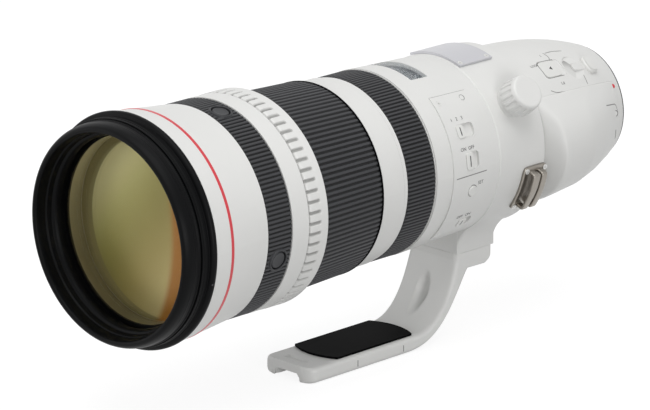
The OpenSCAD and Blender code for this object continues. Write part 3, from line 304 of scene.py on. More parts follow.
def fill(tree: bpy.types.NodeTree, node: bpy.types.Node, inputs: dict[str | int, Any]) -> None:
    """Fills a node's inputs: a socket is linked, and any other value is written into the input itself.

    Args:
        tree: the node tree.
        node: the node to fill.
        inputs: sockets or values, by the name or number of the input.
    """
    for key, value in inputs.items():
        if isinstance(value, bpy.types.NodeSocket):
            tree.links.new(value, node.inputs[key])
        else:
            node.inputs[key].default_value = value


def add_node(tree: bpy.types.NodeTree, kind: str, output: str, inputs: dict[str | int, Any],
             **settings: str) -> bpy.types.NodeSocket:
    """Adds a shader node to a tree, sets it up and fills its inputs.

    Args:
        tree: the node tree.
        kind: the node's type, without the words ShaderNode.
        output: name of the output that is wanted.
        inputs: sockets or values, by the name or number of the input.
        **settings: the node's own settings, made before its inputs are filled.

    Returns:
        The output socket.
    """
    node = tree.nodes.new("ShaderNode" + kind)
    for key, value in settings.items():
        setattr(node, key, value)
    fill(tree, node, inputs)
    return node.outputs[output]


def blend(tree: bpy.types.NodeTree, share: bpy.types.NodeSocket, first: Colour | bpy.types.NodeSocket,
          second: Colour) -> bpy.types.NodeSocket:
    """Blends two colours: the first where the share is 0, the second where it is 1.

    Args:
        tree: the node tree.
        share: the share of the second colour.
        first: a colour, or a socket that gives one.
        second: a colour.

    Returns:
        The blended colour.
    """
    start = first if isinstance(first, bpy.types.NodeSocket) else (*first, 1.0)
    return add_node(tree, "Mix", "Result", {"Factor": share, "A": start, "B": (*second, 1.0)},
                    data_type="RGBA")


def ray_mark(tree: bpy.types.NodeTree) -> bpy.types.NodeSocket:
    """Nodes that give 1 on a camera, glossy or transmission ray, else 0: the largest of three marks.

    Args:
        tree: the node tree that gets them.

    Returns:
        The mark.
    """
    rays = tree.nodes.new("ShaderNodeLightPath").outputs
    either = add_node(tree, "Math", "Value", {0: rays["Is Camera Ray"], 1: rays["Is Glossy Ray"]},
                      operation="MAXIMUM")
    return add_node(tree, "Math", "Value", {0: either, 1: rays["Is Transmission Ray"]}, operation="MAXIMUM")


@dataclass(frozen=True)
class Dressing:
    """What a surface is dressed in: a node material that is made once, under its own name."""
    name: str

    def material(self) -> bpy.types.Material:
        """Makes the material at the first call and gives the same one back at each later call.

        Returns:
            The material.
        """
        made = bpy.data.materials.get(self.name)
        if made is None:
            made = bpy.data.materials.new(self.name)
            made.use_nodes = True
            self.wire(made.node_tree, made.node_tree.nodes["Principled BSDF"])
        return made

    def wire(self, tree: bpy.types.NodeTree, shader: bpy.types.Node) -> None:
        """Sets the shader and adds the nodes that lead to it; each kind of dressing has its own."""
        raise NotImplementedError


@dataclass(frozen=True)
class Finish(Dressing):
    """A surface finish: a base colour, a fine grain that stands up, and a slow mottling.

    The grain is noise at grain_scale, raised by grain_depth in mm. The mottling blends the colour
    towards the second one and moves the roughness by rough_range with a slow noise. A painted shade
    colour is blended in by the mesh's own painted shade attribute, which is 1 where shade is painted
    darkest: on a groove's floor, in a recess or on a bevel that faces away from the light.
    """
    colour: Colour
    second: Colour
    roughness: float
    rough_range: float = 0.06
    metallic: float = 0.0
    grain_scale: float = 2200.0
    grain_depth: float = 0.02
    mottle_scale: float = 28.0
    stretch: Point = (1.0, 1.0, 1.0)
    coat: float = 0.0
    coat_roughness: float = 0.08
    specular: float = 0.5
    # colour of the painted shade, laid on where the mesh's painted shade attribute is set
    painted_shade: Colour | None = None

    def wire(self, tree: bpy.types.NodeTree, shader: bpy.types.Node) -> None:
        """Leads the mottled colour and roughness and the grain's bump to the shader.

        Args:
            tree: the material's node tree.
            shader: its Principled shader.
        """
        place = add_node(tree, "Mapping", "Vector", {
            "Vector": add_node(tree, "TexCoord", "Object", {}), "Scale": self.stretch})
        slow = add_node(tree, "TexNoise", "Fac", {"Vector": place, "Scale": self.mottle_scale, "Detail": 4.0})
        fine = add_node(tree, "TexNoise", "Fac", {"Vector": place, "Scale": self.grain_scale, "Detail": 2.0})
        colour = blend(tree, slow, self.colour, self.second)
        # painted shade: the colour darkens towards the painted shade colour where the mesh's attribute is set
        if self.painted_shade is not None:
            mark = add_node(tree, "Attribute", "Fac", {}, attribute_name=PAINTED_SHADE)
            colour = blend(tree, mark, colour, self.painted_shade)
        rough = add_node(tree, "MapRange", "Result", {
            "Value": slow, "To Min": self.roughness - self.rough_range,
            "To Max": self.roughness + self.rough_range})
        bump = add_node(tree, "Bump", "Normal", {
            "Strength": 1.0, "Distance": self.grain_depth * MM, "Height": fine})
        fill(tree, shader, {"Base Color": colour, "Roughness": rough, "Normal": bump,
                            "Metallic": self.metallic, "Specular IOR Level": self.specular,
                            "Coat Weight": self.coat, "Coat Roughness": self.coat_roughness})


@dataclass(frozen=True)
class CoatedGlass(Dressing):
    """Clear lens glass with a faint coating tint, clouded a little by slow noise.

    The share that light passes straight through is one less the cover; the rest is refracted glass.
    """
    colour: Colour
    second: Colour
    cover: float
    roughness: float = 0.03
    index: float = 1.5
    tint: Colour = (1.0, 1.0, 1.0)
    cloud_scale: float = 14.0

    def wire(self, tree: bpy.types.NodeTree, shader: bpy.types.Node) -> None:
        """Leads the clouded tint to a shader that lets light through.

        Args:
            tree: the material's node tree.
            shader: its Principled shader.
        """
        cloud = add_node(tree, "TexNoise", "Fac", {
            "Vector": add_node(tree, "TexCoord", "Object", {}), "Scale": self.cloud_scale})
        fill(tree, shader, {"Base Color": blend(tree, cloud, self.colour, self.second), "Alpha": self.cover,
                            "Transmission Weight": 1.0, "Roughness": self.roughness, "IOR": self.index,
                            "Specular Tint": (*self.tint, 1.0)})


@dataclass(frozen=True)
class PaintedCrescent:
    """A crescent of painted light on a coating, where the distance from the centre is over the radius. Lengths
    in mm.
    """
    colour: Colour
    centre: Point
    radius: float
    soft: float = 1.5

    def over(self, tree: bpy.types.NodeTree, place: bpy.types.NodeSocket,
             colour: bpy.types.NodeSocket) -> bpy.types.NodeSocket:
        """Lays the crescent over a colour: its share rises smoothly across twice the soft width.

        Args:
            tree: the material's node tree.
            place: the Object coordinates.
            colour: the colour under it.

        Returns:
            The blended colour.
        """
        moved = add_node(tree, "VectorMath", "Vector", {0: place, 1: tuple(-v * MM for v in self.centre)})
        flat = add_node(tree, "VectorMath", "Vector", {0: moved, 1: (1.0, 0.0, 1.0)}, operation="MULTIPLY")
        side = add_node(tree, "MapRange", "Result", {
            "Value": add_node(tree, "VectorMath", "Value", {0: flat}, operation="LENGTH"),
            "From Min": (self.radius - self.soft) * MM, "From Max": (self.radius + self.soft) * MM},
            interpolation_type="SMOOTHSTEP")
        return blend(tree, side, colour, self.colour)


@dataclass(frozen=True)
class PaintedSheen(Dressing):
    """Painted sheen on a coated surface: a ramp of painted reflection and shade across it, and crescents of
    painted light at its edge.

    The ramp's colours lie at even steps of the place's dot product with the direction, from minus the
    reach to the reach, in mm.
    """
    ramp: tuple[Colour, ...]
    crescents: tuple[PaintedCrescent, ...] = ()
    reach: float = 46.0
    direction: Point = (-0.75, 0.0, 0.65)
    metallic: float = 0.3
    roughness: float = 0.36

    def wire(self, tree: bpy.types.NodeTree, shader: bpy.types.Node) -> None:
        """Leads the ramp with its crescents to the shader.

        Args:
            tree: the material's node tree.
            shader: its Principled shader.
        """
        place = add_node(tree, "TexCoord", "Object", {})
        rise = add_node(tree, "VectorMath", "Value", {0: place, 1: self.direction}, operation="DOT_PRODUCT")
        height = add_node(tree, "MapRange", "Result", {
            "Value": rise, "From Min": -self.reach * MM, "From Max": self.reach * MM})
        ramp = tree.nodes.new("ShaderNodeValToRGB")
        steps = ramp.color_ramp.elements
        ramp.color_ramp.interpolation = "B_SPLINE"
        while len(steps) < len(self.ramp):
            steps.new(0.5)
        for number, colour in enumerate(self.ramp):
            steps[number].position = number / (len(self.ramp) - 1)
            steps[number].color = (*colour, 1.0)
        fill(tree, ramp, {"Fac": height})
        colour = ramp.outputs["Color"]
        for crescent in self.crescents:
            colour = crescent.over(tree, place, colour)
        fill(tree, shader, {"Base Color": colour, "Metallic": self.metallic, "Roughness": self.roughness})


@dataclass(frozen=True)
class FloorPaper(Dressing):
    """White floor: a glow for the rays that see it, and a grey that takes light and shadow."""
    glow: float = 0.86
    seen: float = 0.24
    lit: float = 0.42
    roughness: float = 0.9

    def wire(self, tree: bpy.types.NodeTree, shader: bpy.types.Node) -> None:
        """Leads the glow and the grey to the shader, both chosen by the kind of ray.

        Args:
            tree: the material's node tree.
            shader: its Principled shader.
        """
        mark = ray_mark(tree)
        glow = add_node(tree, "Math", "Value", {0: mark, 1: self.glow}, operation="MULTIPLY")
        fill(tree, shader, {"Base Color": blend(tree, mark, (self.lit,) * 3, (self.seen,) * 3),
                            "Emission Color": (1.0, 1.0, 1.0, 1.0), "Emission Strength": glow,
                            "Roughness": self.roughness, "Specular IOR Level": 0.0})


# The third colours of the white paint, the cast paint and the grip rubber are painted shade, blended in where
# the mesh's painted shade attribute is set.
WHITE_PAINT = Finish("satin_white_paint", (0.72, 0.72, 0.705), (0.68, 0.68, 0.665), 0.42,
                     grain_depth=0.006, painted_shade=(0.34, 0.34, 0.33))
CAST_PAINT = Finish("cast_foot_paint", (0.74, 0.74, 0.725), (0.70, 0.70, 0.685), 0.46,
                    grain_depth=0.01, painted_shade=(0.40, 0.40, 0.39))
SHELL_PLASTIC = Finish("white_slider_plastic", (0.72, 0.72, 0.70), (0.68, 0.68, 0.66), 0.36,
                       grain_depth=0.004)
GRIP_RUBBER = Finish("ribbed_grip_rubber", (0.029, 0.03, 0.033), (0.042, 0.043, 0.047), 0.55,
                     rough_range=0.08, grain_scale=1600, specular=0.35, painted_shade=(0.0012, 0.0012, 0.0015))
RIM_BLACK = Finish("crackle_black_paint", (0.0012, 0.0013, 0.0016), (0.002, 0.0022, 0.0026), 0.42,
                   grain_depth=0.012, specular=0.085)
BUTTON_BLACK = Finish("button_black_plastic", (0.026, 0.027, 0.03), (0.034, 0.035, 0.038), 0.45,
                      grain_depth=0.01, specular=0.3)
RED_LINE = Finish("red_enamel_line", (0.62, 0.028, 0.045), (0.55, 0.024, 0.038), 0.3,
                  coat=0.2, grain_depth=0.003)
NICKEL = Finish("satin_nickel", (0.34, 0.315, 0.28), (0.25, 0.23, 0.205), 0.3,
                metallic=1.0, grain_depth=0.008, stretch=(1.0, 0.12, 1.0), rough_range=0.1)
PLATE_METAL = Finish("brushed_plate", (0.6, 0.6, 0.63), (0.52, 0.52, 0.545), 0.36,
                     metallic=0.7, grain_depth=0.006, stretch=(1.0, 0.08, 1.0))
STEEL = Finish("turned_steel", (0.6, 0.59, 0.57), (0.5, 0.49, 0.48), 0.26, metallic=1.0, grain_depth=0.005)
SCREW_METAL = Finish("pale_screw_metal", (0.78, 0.78, 0.76), (0.66, 0.66, 0.65), 0.4,
                     metallic=0.4, grain_depth=0.004)
GOLD = Finish("plated_contacts", (0.83, 0.6, 0.24), (0.75, 0.52, 0.2), 0.22, metallic=1.0, grain_depth=0.002)
INNER_BLACK = Finish("blackened_metal", (0.012, 0.012, 0.013), (0.02, 0.02, 0.021), 0.6, metallic=0.2)
PAD_RUBBER = Finish("foot_pad_rubber", (0.0015, 0.0015, 0.0017), (0.003, 0.003, 0.0033), 0.55,
                    grain_scale=1200, specular=0.015)
SCALE_BLUE = Finish("scale_drum_ink", (0.018, 0.032, 0.042), (0.026, 0.044, 0.056), 0.4, grain_depth=0.003)
PRINT_GREY = Finish("printed_grey_ink", (0.02, 0.02, 0.022), (0.035, 0.035, 0.037), 0.5, grain_depth=0.002)
PRINT_WHITE = Finish("printed_white_ink", (0.7, 0.72, 0.74), (0.6, 0.62, 0.64), 0.5, grain_depth=0.002)
SEAM_GREY = Finish("seam_shadow_paint", (0.22, 0.22, 0.215), (0.17, 0.17, 0.165), 0.6, grain_depth=0.004)
BOARD_GREEN = Finish("lacquered_board", (0.03, 0.12, 0.06), (0.05, 0.17, 0.09), 0.3, coat=0.3)
MOTOR_BRONZE = Finish("motor_ring_metal", (0.42, 0.34, 0.22), (0.36, 0.3, 0.2), 0.35, metallic=0.9)
FRONT_COATING = CoatedGlass("front_element_coating", (0.97, 0.97, 0.92), (0.94, 0.94, 0.86), 0.14, index=1.1,
                            tint=(1.0, 0.95, 0.5))
# Painted reflection and shade on the second element: the ramp runs light and dark across the glass by direction,
# a dark crescent of painted shade lies at the left and an amber crescent of painted reflection at the right.
OLIVE_COATING_PAINTED_SHEEN = PaintedSheen(
    "second_element_coating_painted_sheen",
    ((0.62, 0.53, 0.26), (0.38, 0.30, 0.10), (0.22, 0.19, 0.045), (0.36, 0.33, 0.10), (0.85, 0.78, 0.42)),
    (PaintedCrescent((0.21, 0.18, 0.075), (8.5, 0.0, 1.0), 49.5, 0.5),
     PaintedCrescent((0.34, 0.14, 0.015), (-68.0, 0.0, 0.0), 90.5, 2.2)))
# Painted reflection on the thin sheet at the cell's wall, lighter towards the top.
CELL_WALL_PAINTED_REFLECTION = PaintedSheen(
    "lens_cell_painted_reflection",
    ((0.10, 0.085, 0.04), (0.11, 0.09, 0.04), (0.13, 0.11, 0.05), (0.22, 0.19, 0.095), (0.42, 0.37, 0.20)),
    reach=50.0, direction=(-0.3, 0.0, 0.95), metallic=0.0, roughness=0.5)
CLEAR_GLASS = CoatedGlass("inner_lens_glass", (0.86, 0.92, 0.9), (0.84, 0.9, 0.92), 0.8)
WINDOW_PANE = CoatedGlass("distance_window_pane", (0.88, 0.92, 0.96), (0.84, 0.9, 0.95), 0.3, index=1.3)

FLOOR_PAPER = FloorPaper("floor_white_paper")

NODE_FINISHES: dict[Dressing, tuple[str, ...]] = {
    WHITE_PAINT: ("rear_barrel", "side_cover", "main_barrel", "switch_panel", "front_barrel", "collar_ring",
                  "zoom_ring", "extender_lever", "filter_drawer", "playback_ring", "lock_knob"),
    SHELL_PLASTIC: ("mode_switch", "power_switch", "preset_switch", "extender_lock", "set_button"),
    GRIP_RUBBER: ("focus_grip", "zoom_grip", "button_band", "mount_gasket"),
    RIM_BLACK: ("hood_ring", "front_rim", "focus_ring"),
    BUTTON_BLACK: ("stop_button_top", "stop_button_left", "stop_button_bottom", "stop_button_right",
                   "contact_block"),
    INNER_BLACK: ("guide_tube", "cam_barrel", "stabiliser_base", "stabiliser_yoke", "stabiliser_cell",
                  "variator_cell", "compensator_cell", "focus_cell", "extender_cell", "iris_unit"),
    CLEAR_GLASS: ("rear_glass", "focus_glass", "variator_glass", "compensator_glass", "extender_glass",
                  "filter_glass"),
    SCREW_METAL: ("barrel_screws", "collar_screws"), MOTOR_BRONZE: ("motor_stator", "motor_rotor"),
    STEEL: ("mount_flange",), CAST_PAINT: ("tripod_foot",), PAD_RUBBER: ("foot_pad",),
    PLATE_METAL: ("name_plate",), NICKEL: ("strap_lug",), GOLD: ("contact_pins",), RED_LINE: ("red_ring",),
    BOARD_GREEN: ("circuit_board",), SCALE_BLUE: ("distance_scale",), WINDOW_PANE: ("window_glass",),
    FRONT_COATING: ("front_glass",), OLIVE_COATING_PAINTED_SHEEN: ("objective_glass",),
}


def dress(piece: bpy.types.Object, finish: Dressing) -> None:
    """Puts one finish into every material slot of a piece.

    Args:
        piece: the object to dress.
        finish: the finish it takes.
    """
    if not piece.material_slots:
        piece.data.materials.append(None)
    for one in piece.material_slots:
        one.material = finish.material()


def settle(piece: bpy.types.Object, body: str, finish: Dressing,
           replaced: Iterable[str] = ()) -> bpy.types.Object:
    """Dresses a new piece, ties it to its body and hides the CAD nodes that it stands for.

    Args:
        piece: the new object, already in place.
        body: the body that it rides on.
        finish: the finish it takes.
        replaced: CAD nodes that the piece replaces.

    Returns:
        The same object.
    """
    dress(piece, finish)
    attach(piece, body)
    for node in replaced:
        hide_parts(node)
    LOG.info("%s: %d faces on %s", piece.name, len(piece.data.polygons), body)
    return piece


def turned_ring(name: str, corners: Sequence[Sequence[float]], radii: float | Sequence[float], body: str,
                finish: Dressing, replaced: Iterable[str] = ()) -> bpy.types.Object:
    """A ring turned about the optical axis from a closed outline with rounded corners.

    Args:
        name: name of the piece.
        corners: pairs of radius and station in mm.
        radii: rounding length of each corner, or one for all, in mm.
        body: the body that it rides on.
        finish: the finish it takes.
        replaced: CAD nodes that the ring replaces.

    Returns:
        The ring's object.
    """
    outline = rounded_outline(corners, radii)
    points = barrel_points(outline[None, :, 0], outline[None, :, 1], around(256))
    return settle(grid_piece(name, points, True, True, 40.0), body, finish, replaced)


# ---------------------------------------------------------------- barrels

@dataclass
class BarrelShape:
    """Outer radii of the fixed barrels in mm, as functions of the station."""
    rear_length: float = 82.0
    rear_radius: float = 46.2
    rear_end_radius: float = 34.6
    lip: float = 2.0
    shell_start: float = 122.0
    shell_end: float = 173.3
    shell_radii: tuple[float, float] = (50.4, 52.4)
    panel_height: float = 0.7

    def rear(self, station: np.ndarray) -> np.ndarray:
        """Rear barrel: the full radius less the taper times the share of its length to the power 2.5."""
        share = np.clip((self.rear_length - station) / (self.rear_length - self.lip), 0.0, 1.0)
        return self.rear_radius - (self.rear_radius - self.rear_end_radius) * share ** 2.5

    def shell(self, station: np.ndarray) -> np.ndarray:
        """Fixed shell: a straight taper between its two radii."""
        share = (station - self.shell_start) / (self.shell_end - self.shell_start)
        return self.shell_radii[0] + (self.shell_radii[1] - self.shell_radii[0]) * share

    def panel(self, station: np.ndarray) -> np.ndarray:
        """Top of the switch panel: the shell and the panel's height."""
        return self.shell(station) + self.panel_height

    def radius(self, surface: str, station: np.ndarray, flat: float = 0.0) -> np.ndarray:
        """Radius of a surface by its name, or the given radius for a flat one."""
        station = np.asarray(station, dtype=float)
        return np.full_like(station, flat) if surface == "flat" else getattr(self, surface)(station)


SHAPE = BarrelShape()


class Reading(Enum):
    """The way a label's line runs on the barrel."""
    ALONG = "along the axis to the rear"
    ROUND = "round the barrel, read from behind"


@dataclass
class Label:
    """Printed characters that follow a barrel: flat text bent onto the surface.

    A point of the text moves the angle by its distance over the radius and the station by the other
    distance, so letters keep their size.
    """
    text: str
    angle: float
    station: float
    size: float
    reading: Reading = Reading.ALONG
    lift: float = 0.04
    thickness: float = 0.024

    def build(self, name: str, surface: str = "flat", body: str = "barrel", finish: Finish = PRINT_GREY,
              slot: str = "white_paint", radius: float = 0.0) -> bpy.types.Object:
        """Makes the label as a thin mesh on the barrel.

        Args:
            name: name of the piece.
            surface: flat for a cylinder, or rear, shell or panel for a curved barrel.
            body: body that the label rides on.
            finish: ink of the label.
            slot: not used.
            radius: radius of the surface in mm, where the surface is flat.

        Returns:
            The label's object.
        """
        curve = bpy.data.curves.new(name, "FONT")
        curve.body = self.text
        curve.size = self.size
        curve.align_x, curve.align_y = "CENTER", "CENTER"
        curve.extrude = self.thickness / 2
        curve.resolution_u = 3
        flat = bpy.data.objects.new(name + "_flat", curve)
        bpy.context.scene.collection.objects.link(flat)
        bpy.context.view_layer.update()
        mesh = bpy.data.meshes.new_from_object(flat.evaluated_get(bpy.context.evaluated_depsgraph_get()))
        bpy.data.objects.remove(flat)
        bpy.data.curves.remove(curve)
        along, up, high = mesh_points(mesh).T
        if self.reading is Reading.ALONG:
            station, turn = self.station - along, up
        else:
            station, turn = self.station + up, along
        base = SHAPE.radius(surface, station, radius)
        angle = math.radians(self.angle) + turn / base
        points = barrel_points(base + self.lift + high, station, angle)
        mesh.vertices.foreach_set("co", points.reshape(-1))
        mesh.update()
        return settle(finish_mesh(name, mesh, 30.0), body, finish)


def strip_section() -> tuple[np.ndarray, np.ndarray]:
    """Section of a strip: seven points of a low arch and two of its underside.

    Returns:
        Shares across from -1 to 1, and the arch's height as a share, or -1 on the underside.
    """
    top = np.linspace(-1.0, 1.0, 7)
    return np.append(top, [1.0, -1.0])[None, :], np.append(np.sqrt(1.0 - top ** 2), [-1.0, -1.0])[None, :]


@dataclass
class SurfaceLine:
    """A narrow strip that follows a barrel along a path of places, each an angle and a station.

    Its section is a low arch: the height times the square root of one less the square of the share
    across the strip, closed by an underside that is sunk into the surface. Corners of the path are
    rounded over the given length. The over function, where given, takes stations and angles in degrees
    and gives the radius that the strip lies on.
    """
    places: Outline
    width: float
    height: float = 0.08
    corner: float = 2.0
    over: Callable[[np.ndarray, np.ndarray], np.ndarray] | None = None

    def build(self, name: str, surface: str, body: str = "barrel", finish: Finish = SEAM_GREY,
              slot: str = "white_paint", radius: float = 0.0) -> bpy.types.Object:
        """Makes the strip.

        Args:
            name: name of the piece.
            surface: rear, shell, panel or flat.
            body: body that the strip rides on.
            finish: the strip's finish.
            slot: not used.
            radius: radius in mm, where the surface is flat.

        Returns:
            The strip's object.
        """
        place = np.asarray(self.places, dtype=float)
        per_degree = math.radians(float(np.mean(SHAPE.radius(surface, place[:, 1], radius))))
        path = np.stack([place[:, 0] * per_degree, place[:, 1]], axis=1)
        if len(path) > 2:
            path = rounded_outline(path, [self.corner] * len(path), 8, closed=False)
        path = dense_outline(path, 0.6, closed=False)
        path = path[np.concatenate([[True], np.linalg.norm(np.diff(path, axis=0), axis=1) > 1e-6])]
        run = np.gradient(path, axis=0)
        run = run / np.linalg.norm(run, axis=1, keepdims=True)
        across, arch = strip_section()
        share = np.linspace(0.0, 1.0, len(path))[:, None]
        turn = path[:, :1] - run[:, 1:] * across * self.width / 2
        station = path[:, 1:] + run[:, :1] * across * self.width / 2
        fade = np.sqrt(np.clip(1.0 - (2 * share - 1) ** 16, 0.0, 1.0))
        high = np.where(arch < 0.0, -SUNK, 0.01 + self.height * arch * fade)
        base = SHAPE.radius(surface, station, radius)
        if self.over is not None:
            base = self.over(station, turn / per_degree)
        points = barrel_points(base + high, station, np.radians(turn / per_degree))
        return settle(grid_piece(name, points, False, True, 60.0, caps=True), body, finish)


def curved_plate(name: str, angle: float, station: float, half_angle: float, half_length: float,
                 rise: float, depth: float, surface: str, radius: float = 0.0, power: float = 6.0,
                 edge: float = 0.4, crown: float = 0.0) -> bpy.types.Object:
    """A plate that follows a barrel, with a superellipse as its outline and a rounded edge.

    The outline is |u|^power + |v|^power = 1 in shares of the two half sizes; the crown raises the middle
    by one less the square of the share.

    Args:
        name: name of the new object.
        angle: middle angle in degrees.
        station: middle station.
        half_angle: half the plate's angle.
        half_length: half its length along the axis.
        rise: height of its top over the surface.
        depth: how far its underside lies below its top.
        surface: rear, shell, panel or flat.
        radius: radius in mm, where the surface is flat.
        power: 2 for an ellipse, more for squarer corners.
        edge: rounding of the upper edge.
        crown: how much higher the middle is.

    Returns:
        The new object.
    """
    turn = around(96)
    c, s = np.cos(turn), np.sin(turn)
    u = np.sign(c) * np.abs(c) ** (2.0 / power)
    v = np.sign(s) * np.abs(s) ** (2.0 / power)
    mean = float(np.mean(SHAPE.radius(surface, np.array([station]), radius)))
    half_width = math.radians(half_angle) * mean
    bend = np.linspace(0.0, math.pi / 2, 5)
    inward = np.concatenate([edge * (1.0 - np.sin(bend)), [0.0]])
    drop = np.concatenate([edge * (1.0 - np.cos(bend)), [depth]])
    loops = [(share, share, crown * (1 - share * share)) for share in (0.0, 0.4, 0.8)]
    loops += [(1.0 - step_in / half_width, 1.0 - step_in / half_length, -step_down)
              for step_in, step_down in zip(inward, drop)]
    rows = []
    for share_u, share_v, high in loops + [(0.0, 0.0, -depth)]:
        at = station + half_length * v * share_v
        rows.append(barrel_points(SHAPE.radius(surface, at, radius) + rise + high, at,
                                  np.radians(angle + half_angle * u * share_u)))
    return grid_piece(name, np.concatenate(rows, axis=1), True, False, 40.0, poles=True)


def dark_ring(name: str, place: Point, radii: tuple[float, float]) -> None:
    """A thin dark ring on the barrel, round a screw or a button.

    Args:
        name: name of the piece.
        place: angle, station and the surface's radius.
        radii: inner and outer radius of the ring.
    """
    angle, station, surface = place
    low, high = surface - 0.3, surface + 0.05
    ring = rounded_outline([[radii[0], low], [radii[0], high], [radii[1], high], [radii[1], low]], 0.02)
    settle(radial_piece(name, ring, angle, station, surface, 40), "barrel", SEAM_GREY)


def flat_screw(name: str, place: Point, radius: float = 1.3) -> None:
    """A small round screw head, just proud of the surface.

    Args:
        name: name of the piece.
        place: angle, station and the surface's radius.
        radius: radius of the head.
    """
    angle, station, surface = place
    low, high = surface - 0.8, surface + 0.06
    head = rounded_outline([[0.0, high], [radius, high], [radius, low], [0.0, low]], [0.0, 0.2, 0.0, 0.0])
    settle(radial_piece(name, head, angle, station, surface, 32), "barrel", SCREW_METAL)


@dataclass(frozen=True)
class Extent:
    """Where a CAD node lies on the barrel: angles in degrees, stations and radii in mm."""
    angles: tuple[float, float]
    stations: tuple[float, float]
    radii: tuple[float, float]

    @classmethod
    def of(cls, node: str) -> "Extent":
        """Measures a CAD node.

        Args:
            node: name of the node.

        Returns:
            Its extent, with angles counted round its own middle.
        """
        matrix = np.array(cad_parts[node].matrix_world)
        co = (mesh_points(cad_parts[node].data) @ matrix[:3, :3].T + matrix[:3, 3]) / MM
        middle = math.atan2(co[:, 2].mean(), co[:, 0].mean())
        turn = np.angle(np.exp(1j * (np.arctan2(co[:, 2], co[:, 0]) - middle)))
        angles = np.degrees(np.array([turn.min(), turn.max()]) + middle)
        reach = np.hypot(co[:, 0], co[:, 2])
        return cls((float(angles[0]), float(angles[1])), (float(-co[:, 1].max()), float(-co[:, 1].min())),
                   (float(reach.min()), float(reach.max())))

    @property
    def middle(self) -> tuple[float, float]:
        """Middle angle and middle station."""
        return sum(self.angles) / 2, sum(self.stations) / 2

    @property
    def half(self) -> tuple[float, float]:
        """Half the angle and half the length."""
        return (self.angles[1] - self.angles[0]) / 2, (self.stations[1] - self.stations[0]) / 2


@dataclass
class RibbedBand:
    """A rubber band with ribs along the axis: a closed outline turned about the axis.

    The outer radius is lowered by the rib depth times a groove wave round the barrel. The wave is one
    less the smooth step of the raised cosine, so ribs are wide and grooves narrow, and it fades into
    the groove's floor at both ends of the band.
    """
    name: str
    node: str
    body: str
    stations: tuple[float, float]
    radii: tuple[float, float]
    inner: float
    ribs: int
    depth: float
    per_rib: int = 9
    along: int = 20
    rib_edges: tuple[float, float] = (0.12, 0.62)
    end_share: float = 0.35
    end_fade: float = 0.9
    wells: Outline = ()
    well_radius: float = 5.35
    well_floor: float = 57.72
    apron: float = 6.9

    def build(self) -> bpy.types.Object:
        """Makes the band.

        Returns:
            The band's object, which replaces its CAD node.
        """
        s0, s1 = self.stations
        edge = np.linspace(0.0, 1.0, self.along) * (s1 - s0) + s0
        extra = np.array([0.12, 0.3, 0.6]) * self.end_fade
        outer_s = np.unique(np.concatenate([edge, s0 + extra, s1 - extra]))
        angle, station = around(self.ribs * self.per_rib), outer_s[None, :]
        top = self.radii[0] + (self.radii[1] - self.radii[0]) * (station - s0) / (s1 - s0)
        rib = smoothstep(*self.rib_edges, 0.5 + 0.5 * np.cos(self.ribs * angle))
        near_end = np.minimum(station - s0, s1 - station)
        rib = rib * (self.end_share + (1.0 - self.end_share) * smoothstep(0.0, self.end_fade, near_end))
        radius = top - self.depth * (1.0 - rib)
        for well_angle, well_station in self.wells:
            turn = np.angle(np.exp(1j * (angle - math.radians(well_angle))))
            away = np.hypot(turn * top, station - well_station)
            plain = 1.0 - smoothstep(self.apron - 0.5, self.apron, away)
            radius = radius + (top - 0.12 - radius) * plain
            rib = np.maximum(rib, plain)
            sunk = 1.0 - smoothstep(self.well_radius, self.well_radius + 0.45, away)
            radius = radius + (self.well_floor - radius) * sunk
        under = barrel_points(np.full((1, 2), self.inner), np.array([[s1, s0]]), angle)
        points = np.concatenate([barrel_points(radius, station, angle), under], axis=1)
        piece = grid_piece(self.name, points, True, True, 50.0)
        # Painted shade: the groove floors and the band's underside take the grip's dark painted shade colour.
        paint_shade(piece, np.concatenate([1.0 - rib, np.ones((len(angle), 2))], axis=1))
        return settle(piece, self.body, GRIP_RUBBER, [self.node])


# ---------------------------------------------------------------- sub-assemblies

